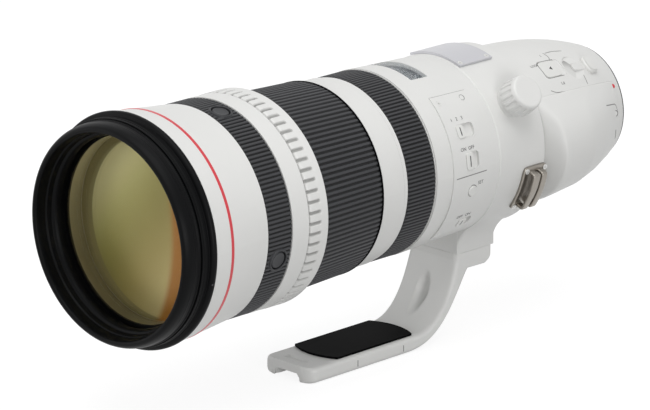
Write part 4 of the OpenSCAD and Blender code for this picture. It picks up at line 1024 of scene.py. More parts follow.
@dataclass
class FrontEnd:
    """Front trim ring, hood ring, coated elements and the hood's index dot. Sizes in mm."""
    rim: Outline = ((51.7, 353.3), (57.85, 353.3), (57.85, 357.55), (60.6, 357.55), (60.6, 358.6),
                    (60.1, 359.1), (60.1, 361.2), (60.4, 361.7), (59.9, 364.8), (58.7, 367.2),
                    (57.1, 368.0), (55.7, 367.4), (55.2, 365.2), (55.0, 361.0), (54.3, 360.4),
                    (53.9, 357.4), (52.6, 356.6), (52.0, 355.2))
    rim_rounding: tuple[float, ...] = (0.1, 0.2, 0.1, 0.3, 0.2, 0.3, 0.3, 0.3, 1.2, 1.0, 0.9, 0.9, 0.8,
                                       0.3, 0.3, 0.3, 0.3, 0.3)
    hood: Outline = ((60.15, 349.1), (63.4, 349.1), (64.0, 349.7), (64.0, 351.3), (63.2, 352.3),
                     (61.4, 352.65), (61.4, 355.2), (61.1, 355.5), (61.1, 356.2), (61.4, 356.5),
                     (61.4, 357.4), (60.15, 357.4))
    hood_rounding: tuple[float, ...] = (0.1, 0.5, 0.4, 0.6, 0.6, 0.3, 0.15, 0.1, 0.1, 0.15, 0.3, 0.1)
    hood_radius: float = 64.0
    ledge: Outline = ((50.93, 347.42), (54.93, 347.42), (54.93, 353.2), (54.45, 353.2), (54.45, 347.56),
                      (50.93, 347.56))
    reflection_sheet: Outline = ((50.9, 338.9), (50.97, 338.9), (50.97, 347.5), (50.9, 347.5))
    front_radius: float = 54.4
    front_edges: tuple[float, float] = (347.65, 353.0)
    front_bulges: tuple[float, float] = (-1.2, 3.0)
    second_radius: float = 50.85
    second_edges: tuple[float, float] = (332.4, 338.8)
    second_bulges: tuple[float, float] = (1.5, 4.0)
    dot: Point = (-14.0, 351.2, 0.55)

    def build(self) -> None:
        """Makes the rings, both visible elements, the red line and the dot."""
        turned_ring("front_trim_ring", self.rim, self.rim_rounding, "barrel", RIM_BLACK,
                    ["front_rim"])
        turned_ring("hood_mount_ring", self.hood, self.hood_rounding, "barrel", RIM_BLACK,
                    ["hood_ring"])
        settle(self.element("front_element", self.front_radius, self.front_edges, self.front_bulges),
               "barrel", FRONT_COATING, ["front_glass"])
        settle(self.element("second_element", self.second_radius, self.second_edges, self.second_bulges),
               "barrel", OLIVE_COATING_PAINTED_SHEEN, ["objective_glass"])
        turned_ring("glass_seat_ring", self.ledge, 0.03, "barrel", RIM_BLACK)
        # A thin sheet at the cell's wall that carries the painted reflection.
        turned_ring("lens_cell_painted_reflection", self.reflection_sheet, 0.02, "barrel", CELL_WALL_PAINTED_REFLECTION)
        red = Extent.of("red_ring")
        (low, high), (near, far) = red.radii, red.stations
        turned_ring("red_accent_line", [[low - 0.1, near - 0.1], [high + 0.05, near - 0.1],
                                        [high + 0.02, far + 0.1], [low - 0.1, far + 0.1]],
                    [0.05, 0.2, 0.2, 0.05], "barrel", RED_LINE, ["red_ring"])
        angle, station, radius = self.dot
        top, under = self.hood_radius, self.hood_radius - 0.5
        outline = rounded_outline([[0.0, top], [radius, top], [radius, under], [0.0, under]], [0, 0.1, 0, 0])
        dot = radial_piece("hood_index_dot", outline, angle, station, top, 24)
        settle(dot, "barrel", PRINT_GREY)

    @staticmethod
    def element(name: str, radius: float, edges: tuple[float, float],
                bulges: tuple[float, float]) -> bpy.types.Object:
        """A lens element: each face bulges out by its bulge times one less the square of the radius share.

        Args:
            name: name of the piece.
            radius: the element's radius.
            edges: stations of the rear and the front edge.
            bulges: bulges of the rear and the front face, negative for a dish.

        Returns:
            The element's object.
        """
        share = np.linspace(0.0, 1.0, 40)
        rear = np.stack([radius * share, edges[0] - bulges[0] * (1 - share ** 2)], axis=1)
        fore = np.stack([radius * share, edges[1] + bulges[1] * (1 - share ** 2)], axis=1)[::-1]
        outline = np.vstack([rear, fore])
        points = barrel_points(outline[None, :, 0], outline[None, :, 1], around(192))
        return grid_piece(name, points, True, False, 60.0, poles=True)


@dataclass
class Rings:
    """Rubber grips, the stop-button band and the padded playback ring. Sizes in mm."""
    stop_angles: tuple[float, ...] = (75.5, 165.5, 255.5, -14.5)
    stop_names: tuple[str, ...] = ("top", "left", "bottom", "right")
    stop_station: float = 299.25
    band_radius: float = 59.3
    rim_section: Outline = ((5.28, 58.0), (5.28, 59.75), (5.7, 60.0), (6.1, 59.8), (6.4, 58.9), (6.4, 58.0))
    cap: Outline = ((0.0, 59.15), (2.9, 59.2), (4.1, 59.45), (4.7, 59.0), (4.7, 57.6), (0.0, 57.6))
    pads: int = 64
    pad_start: float = 4.9
    pad_blend: float = 1.4
    pad_edges: tuple[float, float] = (0.68, 0.97)
    pad_depth: float = 1.15
    pad_slope: float = 0.6
    play_stations: tuple[float, float] = (264.0, 277.2)
    play_radius: float = 59.55
    play_inner: float = 56.7
    seam: Outline = ((52.0, 198.9), (52.36, 198.9), (52.36, 199.3), (52.0, 199.3))
    numbers: tuple[str, ...] = ("200", "250", "300", "350", "400")
    numbers_start: float = 92.0
    numbers_step: float = 15.0
    numbers_station: float = 207.5
    numbers_radius: float = 52.25
    numbers_size: float = 2.6

    def build(self) -> None:
        """Makes every band and the marks on the zoom ring."""
        wells = tuple((angle, self.stop_station) for angle in self.stop_angles)
        bands = (RibbedBand("focus_rubber", "focus_grip", "focus", (217.0, 262.9), (53.95, 55.75), 52.95,
                            ribs=118, depth=0.85),
                 RibbedBand("zoom_rubber", "zoom_grip", "zoom", (174.2, 196.0), (52.2, 52.2), 50.75,
                            ribs=144, depth=0.8, along=14),
                 RibbedBand("stop_band_rubber", "button_band", "barrel", (290.4, 308.1), (59.25, 59.25),
                            57.65, ribs=154, depth=0.8, per_rib=8, along=40, wells=wells))
        for band in bands:
            band.build()
        for place, angle in zip(self.stop_names, self.stop_angles):
            self.stop_button(place, angle)
        self.playback()
        turned_ring("zoom_scale_seam", self.seam, 0.05, "zoom", SEAM_GREY)
        for number, text in enumerate(self.numbers):
            angle = self.numbers_start - self.numbers_step * number
            Label(text, angle, self.numbers_station, self.numbers_size, Reading.ROUND).build(
                f"zoom_number_{text}", body="zoom", radius=self.numbers_radius)

    def stop_button(self, place: str, angle: float) -> None:
        """A stop button: a cap with a faint dish, in a raised rim; both are turned about its axis.

        Args:
            place: the button's place, as its body's name has it.
            angle: its angle in degrees.
        """
        section = rounded_outline(self.rim_section, [0.05, 0.3, 0.2, 0.3, 0.3, 0.05])
        rim = radial_piece(f"stop_rim_{place}", section, angle, self.stop_station, self.band_radius)
        settle(rim, "barrel", BUTTON_BLACK)
        section = rounded_outline(self.cap, [0.0, 1.2, 0.5, 0.4, 0.1, 0.0])
        cap = radial_piece(f"stop_cap_{place}", section, angle, self.stop_station)
        settle(cap, f"stop_{place}", BUTTON_BLACK, [f"stop_button_{place}"])

    def playback(self) -> bpy.types.Object:
        """The playback ring: a rounded outline with narrow grooves that are open to the front.

        Returns:
            The ring's object.
        """
        s0, s1 = self.play_stations
        outline = rounded_outline([[self.play_inner, s0], [self.play_radius, s0], [self.play_radius, s1],
                                   [self.play_inner, s1]], [0.1, 0.5, 1.7, 0.1], 8)
        outline = dense_outline(outline, 0.6)
        angle = around(self.pads * 14)
        wave = 0.5 + 0.5 * np.cos(self.pads * angle)
        station = outline[None, :, 1]
        open_front = smoothstep(s0 + self.pad_start, s0 + self.pad_start + self.pad_blend, station)
        skin = smoothstep(self.play_inner + 0.8, self.play_radius - 0.6, outline[None, :, 0])
        deep = smoothstep(*self.pad_edges, wave) * open_front * skin
        radius = outline[None, :, 0] - self.pad_depth * deep
        points = barrel_points(radius, station - self.pad_slope * deep * skin, angle)
        piece = grid_piece("playback_pad_ring", points, True, True, 40.0)
        # Painted shade in the pads' grooves, darkest on their floors.
        paint_shade(piece, deep)
        return settle(piece, "playback", WHITE_PAINT, ["playback_ring"])


@dataclass
class SwitchPanel:
    """Sliders, generic print and seams of the switch panel. Places as angle and station."""
    print_size: float = 2.8
    words: tuple[tuple[str, float, float], ...] = (
        ("1", 33.4, 153.6), ("2", 33.4, 149.4), ("3", 33.4, 145.2), ("ON", 14.6, 151.0), ("OFF", 14.6, 144.6),
        ("SET", -8.6, 137.8), ("OFF", -31.2, 147.4), ("ON", -31.2, 140.6))
    divider: Outline = ((-2.0, 158.2), (-2.0, 133.4))
    seam_gap: float = 0.35
    bar_width: float = 0.75
    bar_share: float = 0.62

    def build(self) -> None:
        """Prints numbers and ON and OFF words, and makes the seams, the sliders and the push cap."""
        for number, (text, angle, station) in enumerate(self.words):
            Label(text, angle, station, self.print_size).build(f"panel_print_{number}", "panel")
        SurfaceLine(self.divider, 0.55, 0.1).build("panel_divider", "panel")
        edge = Extent.of("switch_panel")
        near, far = edge.stations
        for name, side, gap in (("top", 1, self.seam_gap), ("bottom", 0, -self.seam_gap)):
            angle = edge.angles[side] + gap
            seam = SurfaceLine(((angle, near + 1.0), (angle, far - 0.5)), 0.5, 0.06)
            seam.build(f"panel_seam_{name}", "shell")
        for body in ("mode", "power", "preset"):
            self.slider(f"{body}_switch", body)
        self.set_cap()

    def slider(self, node: str, body: str) -> None:
        """A flush slider as large as its CAD node, with a dark bar across it.

        Args:
            node: the CAD node that it replaces.
            body: the body that it rides on.
        """
        place = Extent.of(node)
        (angle, station), (half_angle, half_length) = place.middle, place.half
        top = place.radii[1]
        plate = curved_plate(f"{body}_slider", angle, station, half_angle, half_length, 0.0,
                             top - place.radii[0], "flat", top, 5.0, 0.35)
        settle(plate, body, SHELL_PLASTIC, [node])
        reach = half_angle * self.bar_share
        SurfaceLine(((angle - reach, station), (angle + reach, station)), self.bar_width, 0.06).build(
            f"{body}_slider_bar", "flat", body, PRINT_GREY, "black_plastic", top - 0.02)

    def set_cap(self) -> None:
        """The round push cap: a faint dish with a rounded edge, in a thin dark gap."""
        place = Extent.of("set_button")
        angle, station = place.middle
        half, top = place.half[1], place.radii[1]
        outline = rounded_outline([[0.0, top - 0.2], [half * 0.6, top - 0.15], [half, top], [half, top - 1.4],
                                   [0.0, top - 1.4]], [0.0, 0.6, 0.5, 0.1, 0.0])
        settle(radial_piece("set_cap", outline, angle, station), "set", SHELL_PLASTIC,
               ["set_button"])
        surface = float(SHAPE.panel(np.array(station)))
        dark_ring("set_gap_ring", (angle, station, surface), (half + 0.12, half + 0.5))


@dataclass
class DistanceWindow:
    """The print on the scale drum behind the window: numbers, each with a tick. Sizes in mm."""
    drum_radius: float = 48.6
    numbers: tuple[str, ...] = ("2", "2.5", "3", "4", "5", "7", "10", "20", "30")
    start: float = 74.0
    step: float = 15.5
    station: float = 156.3
    size: float = 3.0
    tick: tuple[float, float] = (148.6, 151.0)

    def build(self) -> None:
        """Prints the numbers and their ticks round the drum."""
        for number, text in enumerate(self.numbers):
            angle = self.start + self.step * number
            Label(text, angle, self.station, self.size, Reading.ROUND).build(
                f"distance_number_{number}", "flat", "scale", PRINT_WHITE, "black_plastic", self.drum_radius)
            SurfaceLine(((angle, self.tick[0]), (angle, self.tick[1])), 0.35, 0.03).build(
                f"distance_tick_{number}", "flat", "scale", PRINT_WHITE, "black_plastic", self.drum_radius)


@dataclass
class RearHousing:
    """Seams, print, marks, lock slider and lever of the rear barrel. Places as angle and station."""
    seams: tuple[tuple[str, Outline], ...] = (
        ("lever_seam_low", ((36.0, 66.0), (33.6, 62.5), (32.3, 50.0))),
        ("lever_seam_high", ((67.6, 49.5), (68.6, 43.0), (68.0, 34.5))),
        ("lever_seam_side", ((68.0, 51.0), (63.8, 49.8), (60.5, 51.0))),
        ("lever_panel_ridge", ((42.0, 33.0), (34.5, 33.4))))
    labels: tuple[tuple[str, Label], ...] = (
        ("lock_word", Label("LOCK", 57.5, 66.5, 2.3)), ("ratio_number", Label("1.4", 39.0, 54.0, 2.7)),
        ("unity_number", Label("1", 65.4, 55.0, 2.5)))
    dot: Point = (28.3, 8.4, 1.5)
    cover_screw: Point = (28.5, 80.0, 46.63)
    panel_screws: Outline = ((45.5, 156.0), (45.9, 137.3))
    screw_ring: tuple[float, float] = (1.55, 1.85)
    triangle: tuple[float, float] = (2.2, 1.15)
    lock_rise: float = 0.25
    lock_margins: tuple[float, float] = (0.5, 0.35)
    lever_angle: float = 50.0
    lever_disc: float = 6.9
    lever_disc_back: float = 7.0
    lever_radius: float = 43.6
    lever_arm: Point = (14.0, 3.4, 6.2)
    lever_tab: Point = (5.0, 8.0, 4.9)

    def build(self) -> None:
        """Draws the seams, prints the words and makes the dot, the lock slider and the lever."""
        for name, places in self.seams:
            SurfaceLine(places, 0.42, 0.05).build(name, "rear")
        for name, label in self.labels:
            label.build(name, "rear")
        angle, station, radius = self.dot
        top = float(SHAPE.rear(np.array(station)))
        dome = rounded_outline([[0.0, top + 0.5], [radius * 0.7, top + 0.42], [radius, top - 0.3],
                                [radius, top - 1.0], [0.0, top - 1.0]], [0.0, 0.5, 0.4, 0.0, 0.0])
        settle(radial_piece("mount_index_dot", dome, angle, station, 0.0, 32), "barrel", RED_LINE)
        self.screws()
        self.lock()
        self.lever()

    def screws(self) -> None:
        """Thin dark rings round the visible screws, and the panel's rear screw."""
        front, rear = self.panel_screws
        places = {"cover_top": self.cover_screw,
                  "panel_front": (*front, float(SHAPE.panel(np.array(150.0))) + 0.04),
                  "panel_rear": (*rear, float(SHAPE.panel(np.array(rear[1]))))}
        flat_screw("panel_rear_screw", places["panel_rear"])
        for name, place in places.items():
            dark_ring(f"screw_ring_{name}", place, self.screw_ring)

    def lock(self) -> None:
        """The rounded lock slider with its dark triangle, and the gap round it, open to the rear."""
        place = Extent.of("extender_lock")
        (angle, station), (half_angle, half_length) = place.middle, place.half
        depth = place.radii[1] - place.radii[0] - 0.3
        plate = curved_plate("lock_slider_plate", angle, station, half_angle, half_length, self.lock_rise, depth,
                             "rear", power=5.0, edge=0.35)
        settle(plate, "lock_slider", SHELL_PLASTIC, ["extender_lock"])
        wide, long = half_angle + self.lock_margins[0], half_length + self.lock_margins[1]
        loop = tuple((angle + u * wide, station + v * long) for u, v in ((-1, -1), (-1, 1), (1, 1), (1, -1)))
        SurfaceLine(loop, 0.35, 0.04, 2.6).build("lock_plate_gap", "rear")
        tall, broad = self.triangle
        t = np.linspace(0.0, 0.98, 9)[:, None]
        side, arch = strip_section()
        at = station + tall * (t - 0.5) + 0 * side
        turn = np.radians(angle) + side * (1.0 - t) * broad / SHAPE.rear(at)
        points = barrel_points(SHAPE.rear(at) + np.where(arch < 0.0, 0.1, 0.3), at, turn)
        settle(grid_piece("lock_triangle", points, False, True, caps=True), "lock_slider", PRINT_GREY)

    def lever(self) -> None:
        """The lever: a sunk round cover with painted shadow darkening to its upper edge, a low arm and a rounded
        glossy tab.
        """
        low, high = Extent.of("extender_lever").stations
        middle = high - self.lever_disc_back
        half_angle = math.degrees(self.lever_disc / self.lever_radius)
        disc = curved_plate("lever_disc", self.lever_angle, middle, half_angle, self.lever_disc, -1.1, 0.8,
                            "rear", power=2.0, edge=0.3)
        co = mesh_points(disc.data)
        turn = np.degrees(np.arctan2(co[:, 2], co[:, 0])) - self.lever_angle
        # Painted shadow of the recess on the sunk cover, darkest towards its upper and rear edge.
        paint_shade(disc, 0.15 + 0.85 * smoothstep(-3.0, 7.0, turn + (middle + co[:, 1] / MM) * 0.5))
        settle(disc, "lever", WHITE_PAINT, ["extender_lever"])
        ahead, half_angle, half_length = self.lever_arm
        arm = curved_plate("lever_arm", self.lever_angle, low + ahead, half_angle, half_length, 0.35, 1.3,
                           "rear", power=4.0, edge=0.5)
        settle(arm, "lever", WHITE_PAINT)
        ahead, half_angle, half_length = self.lever_tab
        tab = curved_plate("lever_tab", self.lever_angle, low + ahead, half_angle, half_length, 2.5, 3.4,
                           "rear", power=2.8, edge=1.7, crown=0.5)
        settle(tab, "lever", SHELL_PLASTIC)


@dataclass
class SideCover:
    """The smooth housing on the right of the rear barrel, as a convex skin over five stations.

    At each station the section is the larger of an offset circle and the barrel, each as a support
    function h of the normal's angle; between stations h is the concave envelope. The skin's points are
    h n + h' t, cut again at even angles. Sizes in mm.
    """
    bulge: Point = (25.5, -5.0, 31.5)
    back: float = 73.5
    shares: tuple[Point, ...] = ((1.0, 1.0, 1.0), (0.61, 0.785, 1.025), (0.38, 0.55, 1.035),
                                 (0.19, 0.235, 1.048), (0.055, 0.0, 1.1))
    rise: float = 0.43
    skin: float = 2.0
    softening: float = 2.2
    ends: tuple[float, float] = (6.0, 4.0)
    edge_drop: float = 0.3
    edge_width: float = 0.7
    stations: tuple[float, float] = (9.05, 81.95)
    angles: tuple[float, float] = (-65.9, 32.9)
    plate_seam: Outline = ((15.0, 25.2), (13.4, 13.0), (6.0, 11.2))
    plate_slot: Outline = ((-7.6, 14.4), (-16.6, 12.4))
    plate_screw: tuple[float, float] = (5.9, 14.4)

    def support(self, station: np.ndarray, normal: np.ndarray) -> np.ndarray:
        """Support function of the skin: the largest chord between any two stations' functions.

        Args:
            station: stations to work out.
            normal: angles of the normal in radians.

        Returns:
            Array of stations by angles.
        """
        x, z, radius = self.bulge
        known = [self.back * along for along, _, _ in self.shares] + [SHAPE.rear_length]
        rows = [np.maximum(x * off * np.cos(normal) + z * off * np.sin(normal) + radius * size,
                           float(SHAPE.rear(np.array(self.back * along))) + self.rise)
                for along, off, size in self.shares] + [np.full_like(normal, SHAPE.rear_radius + self.rise)]
        best = np.zeros((len(station), len(normal)))
        for i, near in enumerate(known):
            for j, far in enumerate(known):
                if far <= near:
                    continue
                share = ((station - near) / (far - near))[:, None]
                chord = rows[i] + (rows[j] - rows[i]) * share
                best = np.where((share >= 0) & (share <= 1), np.maximum(best, chord), best)
        return best

    def build(self) -> bpy.types.Object:
        """Makes the cover, softened along the axis and closed by its inner skin.

        Returns:
            The cover's object.
        """
        station = np.linspace(*self.stations, 110)
        normal = np.linspace(-math.pi, math.pi, 1441)
        h = self.support(station, normal)
        slope = np.gradient(h, normal, axis=1)
        x = h * np.cos(normal) - slope * np.sin(normal)
        z = h * np.sin(normal) + slope * np.cos(normal)
        angle = np.radians(np.linspace(*self.angles, 150))
        radius = np.stack([self.cut(row_x, row_z, angle) for row_x, row_z in zip(x, z)])
        kernel = np.exp(-0.5 * (np.arange(-9, 10) / self.softening) ** 2)
        padded = np.pad(radius, ((9, 9), (0, 0)), mode="edge")
        soft = sum(weight * padded[i:i + len(station)] for i, weight in enumerate(kernel / kernel.sum()))
        rear, front = self.stations
        inside = (smoothstep(rear, rear + self.ends[0], station)
                  * smoothstep(front, front - self.ends[1], station))
        radius = radius + (np.minimum(soft, radius) - radius) * inside[:, None]
        border = np.minimum.outer(np.minimum(station - station[0], station[-1] - station),
                                  np.minimum(angle - angle[0], angle[-1] - angle) * SHAPE.rear_radius)
        outer = radius - self.edge_drop * (1.0 - smoothstep(0.0, self.edge_width, border))
        inner = np.maximum(outer - self.skin, SHAPE.rear(station)[:, None] - self.skin + 0.1)[:, ::-1]
        points = np.concatenate([barrel_points(outer, station[:, None], angle[None, :]),
                                 barrel_points(inner, station[:, None], angle[None, ::-1])], axis=1)
        piece = grid_piece("side_housing_cover", points, False, True, 40.0, caps=True)
        # Painted shade on the front bevel near the collar, where the cover's radius falls steeply.
        bevel_shade = smoothstep(0.25, 0.8, -np.gradient(radius, station, axis=0)) * (station > 60.0)[:, None]
        paint_shade(piece, np.concatenate([0.3 * bevel_shade, 0.0 * bevel_shade], axis=1))
        self.slot_plate(station, angle, outer)
        return settle(piece, "barrel", WHITE_PAINT, ["side_cover"])

    def slot_plate(self, station: np.ndarray, angle: np.ndarray, radius: np.ndarray) -> None:
        """The slot plate by the mount: its seam, its screw and its narrow slot.

        Args:
            station: stations of the cover's grid.
            angle: angles of the cover's grid in radians.
            radius: the cover's outer radii on that grid.
        """
        def over(at: np.ndarray, turn: np.ndarray) -> np.ndarray:
            """Radius of the cover between the grid's points, blended from the four nearest ones.

            Args:
                at: stations.
                turn: angles in degrees.

            Returns:
                Array of radii.
            """
            i = np.clip(np.interp(at, station, np.arange(len(station))), 0, len(station) - 1.001)
            j = np.clip(np.interp(np.radians(turn), angle, np.arange(len(angle))), 0, len(angle) - 1.001)
            a, b = i.astype(int), j.astype(int)
            u, v = i - a, j - b
            return ((1 - u) * (1 - v) * radius[a, b] + u * (1 - v) * radius[a + 1, b]
                    + (1 - u) * v * radius[a, b + 1] + u * v * radius[a + 1, b + 1])

        SurfaceLine(self.plate_seam, 0.5, 0.05, over=over).build("slot_plate_seam", "rear")
        SurfaceLine(self.plate_slot, 1.0, 0.05, over=over).build("slot_plate_slot", "rear")
        at_angle, at_station = self.plate_screw
        place = (at_angle, at_station, float(over(np.array(at_station), np.array(at_angle))))
        flat_screw("slot_plate_screw", place)
        dark_ring("screw_ring_slot_plate", place, (1.45, 1.8))

    @staticmethod
    def cut(x: np.ndarray, z: np.ndarray, angle: np.ndarray) -> np.ndarray:
        """Distance from the axis to an outline along rays: cross(A, B) over cross(d, B - A).

        Args:
            x: outline points across.
            z: outline points upwards.
            angle: angles of the rays in radians.

        Returns:
            Array of distances.
        """
        order = np.argsort(np.arctan2(z, x), kind="stable")
        x, z = x[order], z[order]
        after = np.clip(np.searchsorted(np.arctan2(z, x), angle), 1, len(x) - 1)
        ax, az, bx, bz = x[after - 1], z[after - 1], x[after], z[after]
        return (ax * bz - az * bx) / (np.cos(angle) * (bz - az) - np.sin(angle) * (bx - ax))


@dataclass
class LockKnob:
    """The tripod collar's lock knob: a turned outline with scalloped flutes. Sizes in mm."""
    angle: float = 34.5
    station: float = 105.0
    seat: float = 54.5
    flutes: int = 18
    flute_depth: float = 0.75
    flute_edges: tuple[float, float] = (0.25, 0.8)
    flute_start: tuple[float, float] = (0.6, 2.0)
    flute_end: tuple[float, float] = (10.6, 9.2)
    profile: Outline = ((0.0, 0.0), (9.9, 0.0), (10.9, 2.6), (10.7, 5.9), (10.15, 11.4), (9.3, 13.0),
                        (0.0, 12.9))

    def build(self) -> bpy.types.Object:
        """Makes the knob about its own axis, lowered at each flute by a raised cosine, then set in place.

        Returns:
            The knob's object.
        """
        outline = rounded_outline(self.profile, [0.0, 0.5, 1.0, 1.0, 1.6, 1.2, 0.0], 6)
        outline = dense_outline(outline, 0.6, closed=False)
        steps, high = self.flutes * 12, outline[None, :, 1]
        wave = 0.5 - 0.5 * np.cos(self.flutes * around(steps))
        window = smoothstep(*self.flute_start, high) * smoothstep(*self.flute_end, high)
        side = smoothstep(8.8, 9.6, outline[None, :, 0])
        cut = self.flute_depth * smoothstep(*self.flute_edges, wave) * window * side
        outline[:, 1] += self.seat
        knob = radial_piece("lock_knob_fluted", outline, self.angle, self.station, 0.0, steps, cut)
        return settle(knob, "knob", WHITE_PAINT, ["lock_knob"])


@dataclass
class StrapLug:
    """Strap lugs on both sides: a rounded base plate and two arched bars. Sizes in mm."""
    stations: tuple[float, float] = (84.1, 102.9)
    half_angle: float = 15.9
    base_radius: float = 51.0
    base_top: float = 52.4
    bar_radius: float = 56.2
    bar_width: float = 4.2
    bar_height: float = 1.9
    bar_offset: float = 3.3
    bar_inset: float = 4.4
    bar_shoulder: tuple[float, float] = (1.2, 56.0)
    sides: tuple[tuple[str, float], ...] = (("right", -24.0), ("left", 204.0))

    def build(self) -> None:
        """Makes the plate and the bars of each side."""
        for side, angle in self.sides:
            middle, half = sum(self.stations) / 2, (self.stations[1] - self.stations[0]) / 2
            plate = curved_plate(f"strap_plate_{side}", angle, middle, self.half_angle, half, 0.0,
                                 self.base_top - self.base_radius, "flat", self.base_top, 8.0, 0.5)
            settle(plate, "collar", NICKEL, ["strap_lug"])
            for number, station in enumerate((middle - self.bar_offset, middle + self.bar_offset)):
                bar = self.bar(f"strap_bar_{side}_{number}", angle, station)
                settle(bar, "collar", NICKEL)

    def bar(self, name: str, angle: float, station: float) -> bpy.types.Object:
        """An arched bar: a rounded rectangle carried along a path that rises, crosses and falls.

        The path is a rounded outline in the plane across the barrel; its section lies in the path's
        normal and the barrel's axis.

        Args:
            name: name of the piece.
            angle: middle angle in degrees.
            station: middle station.

        Returns:
            The bar's object.
        """
        half, top, low = self.half_angle - self.bar_inset, self.bar_radius, self.base_top - 0.5
        step_in, shoulder = self.bar_shoulder
        path = rounded_outline([[-half - 1.0, low], [-half, shoulder], [-half + step_in, top],
                                [0.0, top + 0.1], [half - step_in, top], [half, shoulder], [half + 1.0, low]],
                               [0.0, 1.0, 2.2, 4.0, 2.2, 1.0, 0.0], 8, closed=False)
        a = np.radians(angle + path[:, 0])
        centre = np.stack([path[:, 1] * np.cos(a), path[:, 1] * np.sin(a)], axis=1)
        run = np.gradient(centre, axis=0)
        run = run / np.maximum(np.linalg.norm(run, axis=1, keepdims=True), 1e-9)
        normal = np.stack([-run[:, 1], run[:, 0]], axis=1)
        wide, tall = self.bar_width / 2, self.bar_height / 2
        section = rounded_outline([[-wide, -tall], [wide, -tall], [wide, tall], [-wide, tall]], 0.85, 6)
        flat = centre[:, None, :] + normal[:, None, :] * section[None, :, 1:2]
        along = -station + section[None, :, 0] + 0 * flat[..., 0]
        points = np.stack([flat[..., 0], along, flat[..., 1]], axis=-1) * MM
        return grid_piece(name, points, False, True, 50.0, caps=True)


@dataclass
class TripodFoot:
    """The cast foot: rounded sections carried from the collar's block to the foot's front end.

    Each section joins a point of the rear and under line to a point of the front and top line, so the
    sections turn with the neck. Sizes in mm, as station and height.
    """
    half_width: float = 18.7
    floor: float = -109.05
    top: float = -99.85
    front: float = 235.95
    neck_end: float = 150.0
    root: Outline = ((92.05, -60.15), (92.05, -66.0), (92.9, -67.9), (97.0, -70.65))
    under_block: Outline = ((98.0, -70.65), (110.4, -70.65))
    front_block: Outline = ((121.65, -60.15), (121.65, -63.9))
    low_neck: Outline = ((111.0, -70.7), (124.0, -88.0), (133.0, -109.05), (160.0, -109.05))
    top_neck: Outline = ((121.8, -64.3), (126.0, -80.0), (133.0, -99.8), (153.0, -99.85))
    corner: float = 5.5
    edge: float = 3.6
    channel: tuple[float, float, float] = (9.0, 212.0, 4.35)
    leaf: tuple[float, float, float, float] = (-1.5, 5.4, -84.5, 12.5)
    leaf_depth: float = 4.6
    slot: tuple[float, float, float] = (7.5, 228.0, 1.6)
    slot_depth: float = 0.8
    ticks: tuple[float, ...] = (164.0, 200.0)

    def lines(self) -> tuple[np.ndarray, np.ndarray]:
        """The under line and the top line of the foot, with the same number of points.

        Returns:
            Two arrays of station and height.
        """
        t = np.linspace(0.0, 1.0, 40)
        flat = np.linspace(0.02, 1.0, 90)
        root = np.array(self.root)
        low_block = np.vstack([np.linspace(root[0], root[1], 6),
                               bezier([root[1], root[1] + [0, -1.5], root[2] + [0.6, -1.4], root[3]],
                                      np.linspace(0.1, 1, 8)),
                               np.linspace(*np.array(self.under_block), 8)])
        top_block = np.linspace(*np.array(self.front_block), len(low_block))
        lines = []
        for block, neck in ((low_block, self.low_neck), (top_block, self.top_neck)):
            bend, level = neck[-1]
            sole = np.stack([bend + (self.front - bend) * flat, np.full(len(flat), level)], axis=1)
            lines.append(np.vstack([block, bezier(neck, t), sole]))
        return lines[0], lines[1]

    def build(self) -> bpy.types.Object:
        """Makes the foot, with its channel, the dish in its neck and its rounded front.

        Returns:
            The foot's object.
        """
        low, top = self.lines()
        thick = np.linalg.norm(top - low, axis=1)
        half = np.full(len(low), self.half_width)
        ahead = np.maximum(0.0, (low[:, 0] + top[:, 0]) / 2 - (self.front - self.corner))
        half = half - self.corner + np.sqrt(np.maximum(self.corner ** 2 - ahead ** 2, 0.0))
        edge = np.minimum(self.edge, thick * 0.3)
        u, v, n = self.section()
        x = u[None, :] * (half[:, None] - edge[:, None]) + n[None, :, 0] * edge[:, None]
        inset = edge / thick
        share = v[None, :] * (1 - 2 * inset[:, None]) + inset[:, None] + n[None, :, 1] * inset[:, None]
        place = low[:, None, :] + (top - low)[:, None, :] * share[..., None]
        s, z = place[..., 0], place[..., 1]
        width, start, deep = self.channel
        trough = smoothstep(width + 0.5, width, np.abs(x)) * smoothstep(start - 0.4, start + 0.6, s)
        z = z + deep * trough * smoothstep(0.5, 0.1, share) * (np.abs(share - inset[:, None]) < 0.5)
        leaf_x, leaf_wide, leaf_z, leaf_high = self.leaf
        leaf = 1.0 - ((x - leaf_x) / leaf_wide) ** 2 - np.abs((z - leaf_z) / leaf_high) ** 1.6
        on_neck = smoothstep(0.8, 0.97, share) * (s < self.neck_end)
        s = s - self.leaf_depth * smoothstep(0.0, 1.0, leaf) * on_neck
        slot_wide, slot_s, slot_half = self.slot
        slot = smoothstep(slot_wide + 0.5, slot_wide - 0.5, np.abs(x)) * smoothstep(
            slot_half + 0.6, slot_half - 0.4, np.abs(s - slot_s))
        z = z - self.slot_depth * slot * (share > 1.0 - inset[:, None] * 0.5)
        self.marks()
        points = np.stack([x, -s, z], axis=-1) * MM
        piece = grid_piece("tripod_foot_cast", points, False, True, 40.0, caps=True)
        # Painted shade in the right and lower part of the dish in the neck.
        paint_shade(piece, 0.7 * smoothstep(0.0, 0.7, leaf) * smoothstep(-2.5, 3.0, x - leaf_x)
                     * smoothstep(leaf_z + 9.0, leaf_z - 3.0, z) * (share > 0.8) * (s < self.neck_end))
        return settle(piece, "collar", CAST_PAINT, ["tripod_foot"])

    def marks(self) -> None:
        """Two thin index lines on the right side of the foot, each a low arch across."""
        for number, station in enumerate(self.ticks):
            high = np.linspace(self.floor + 2.4, self.top - 3.2, 12)[:, None]
            across, arch = strip_section()
            out = self.half_width + np.where(arch < 0.0, -SUNK, 0.02 + 0.05 * arch)
            points = np.stack(np.broadcast_arrays(out, -(station + 0.3 * across), high), axis=-1) * MM
            tick = grid_piece(f"foot_tick_{number}", points, False, True, 60.0, caps=True)
            settle(tick, "collar", SEAM_GREY)

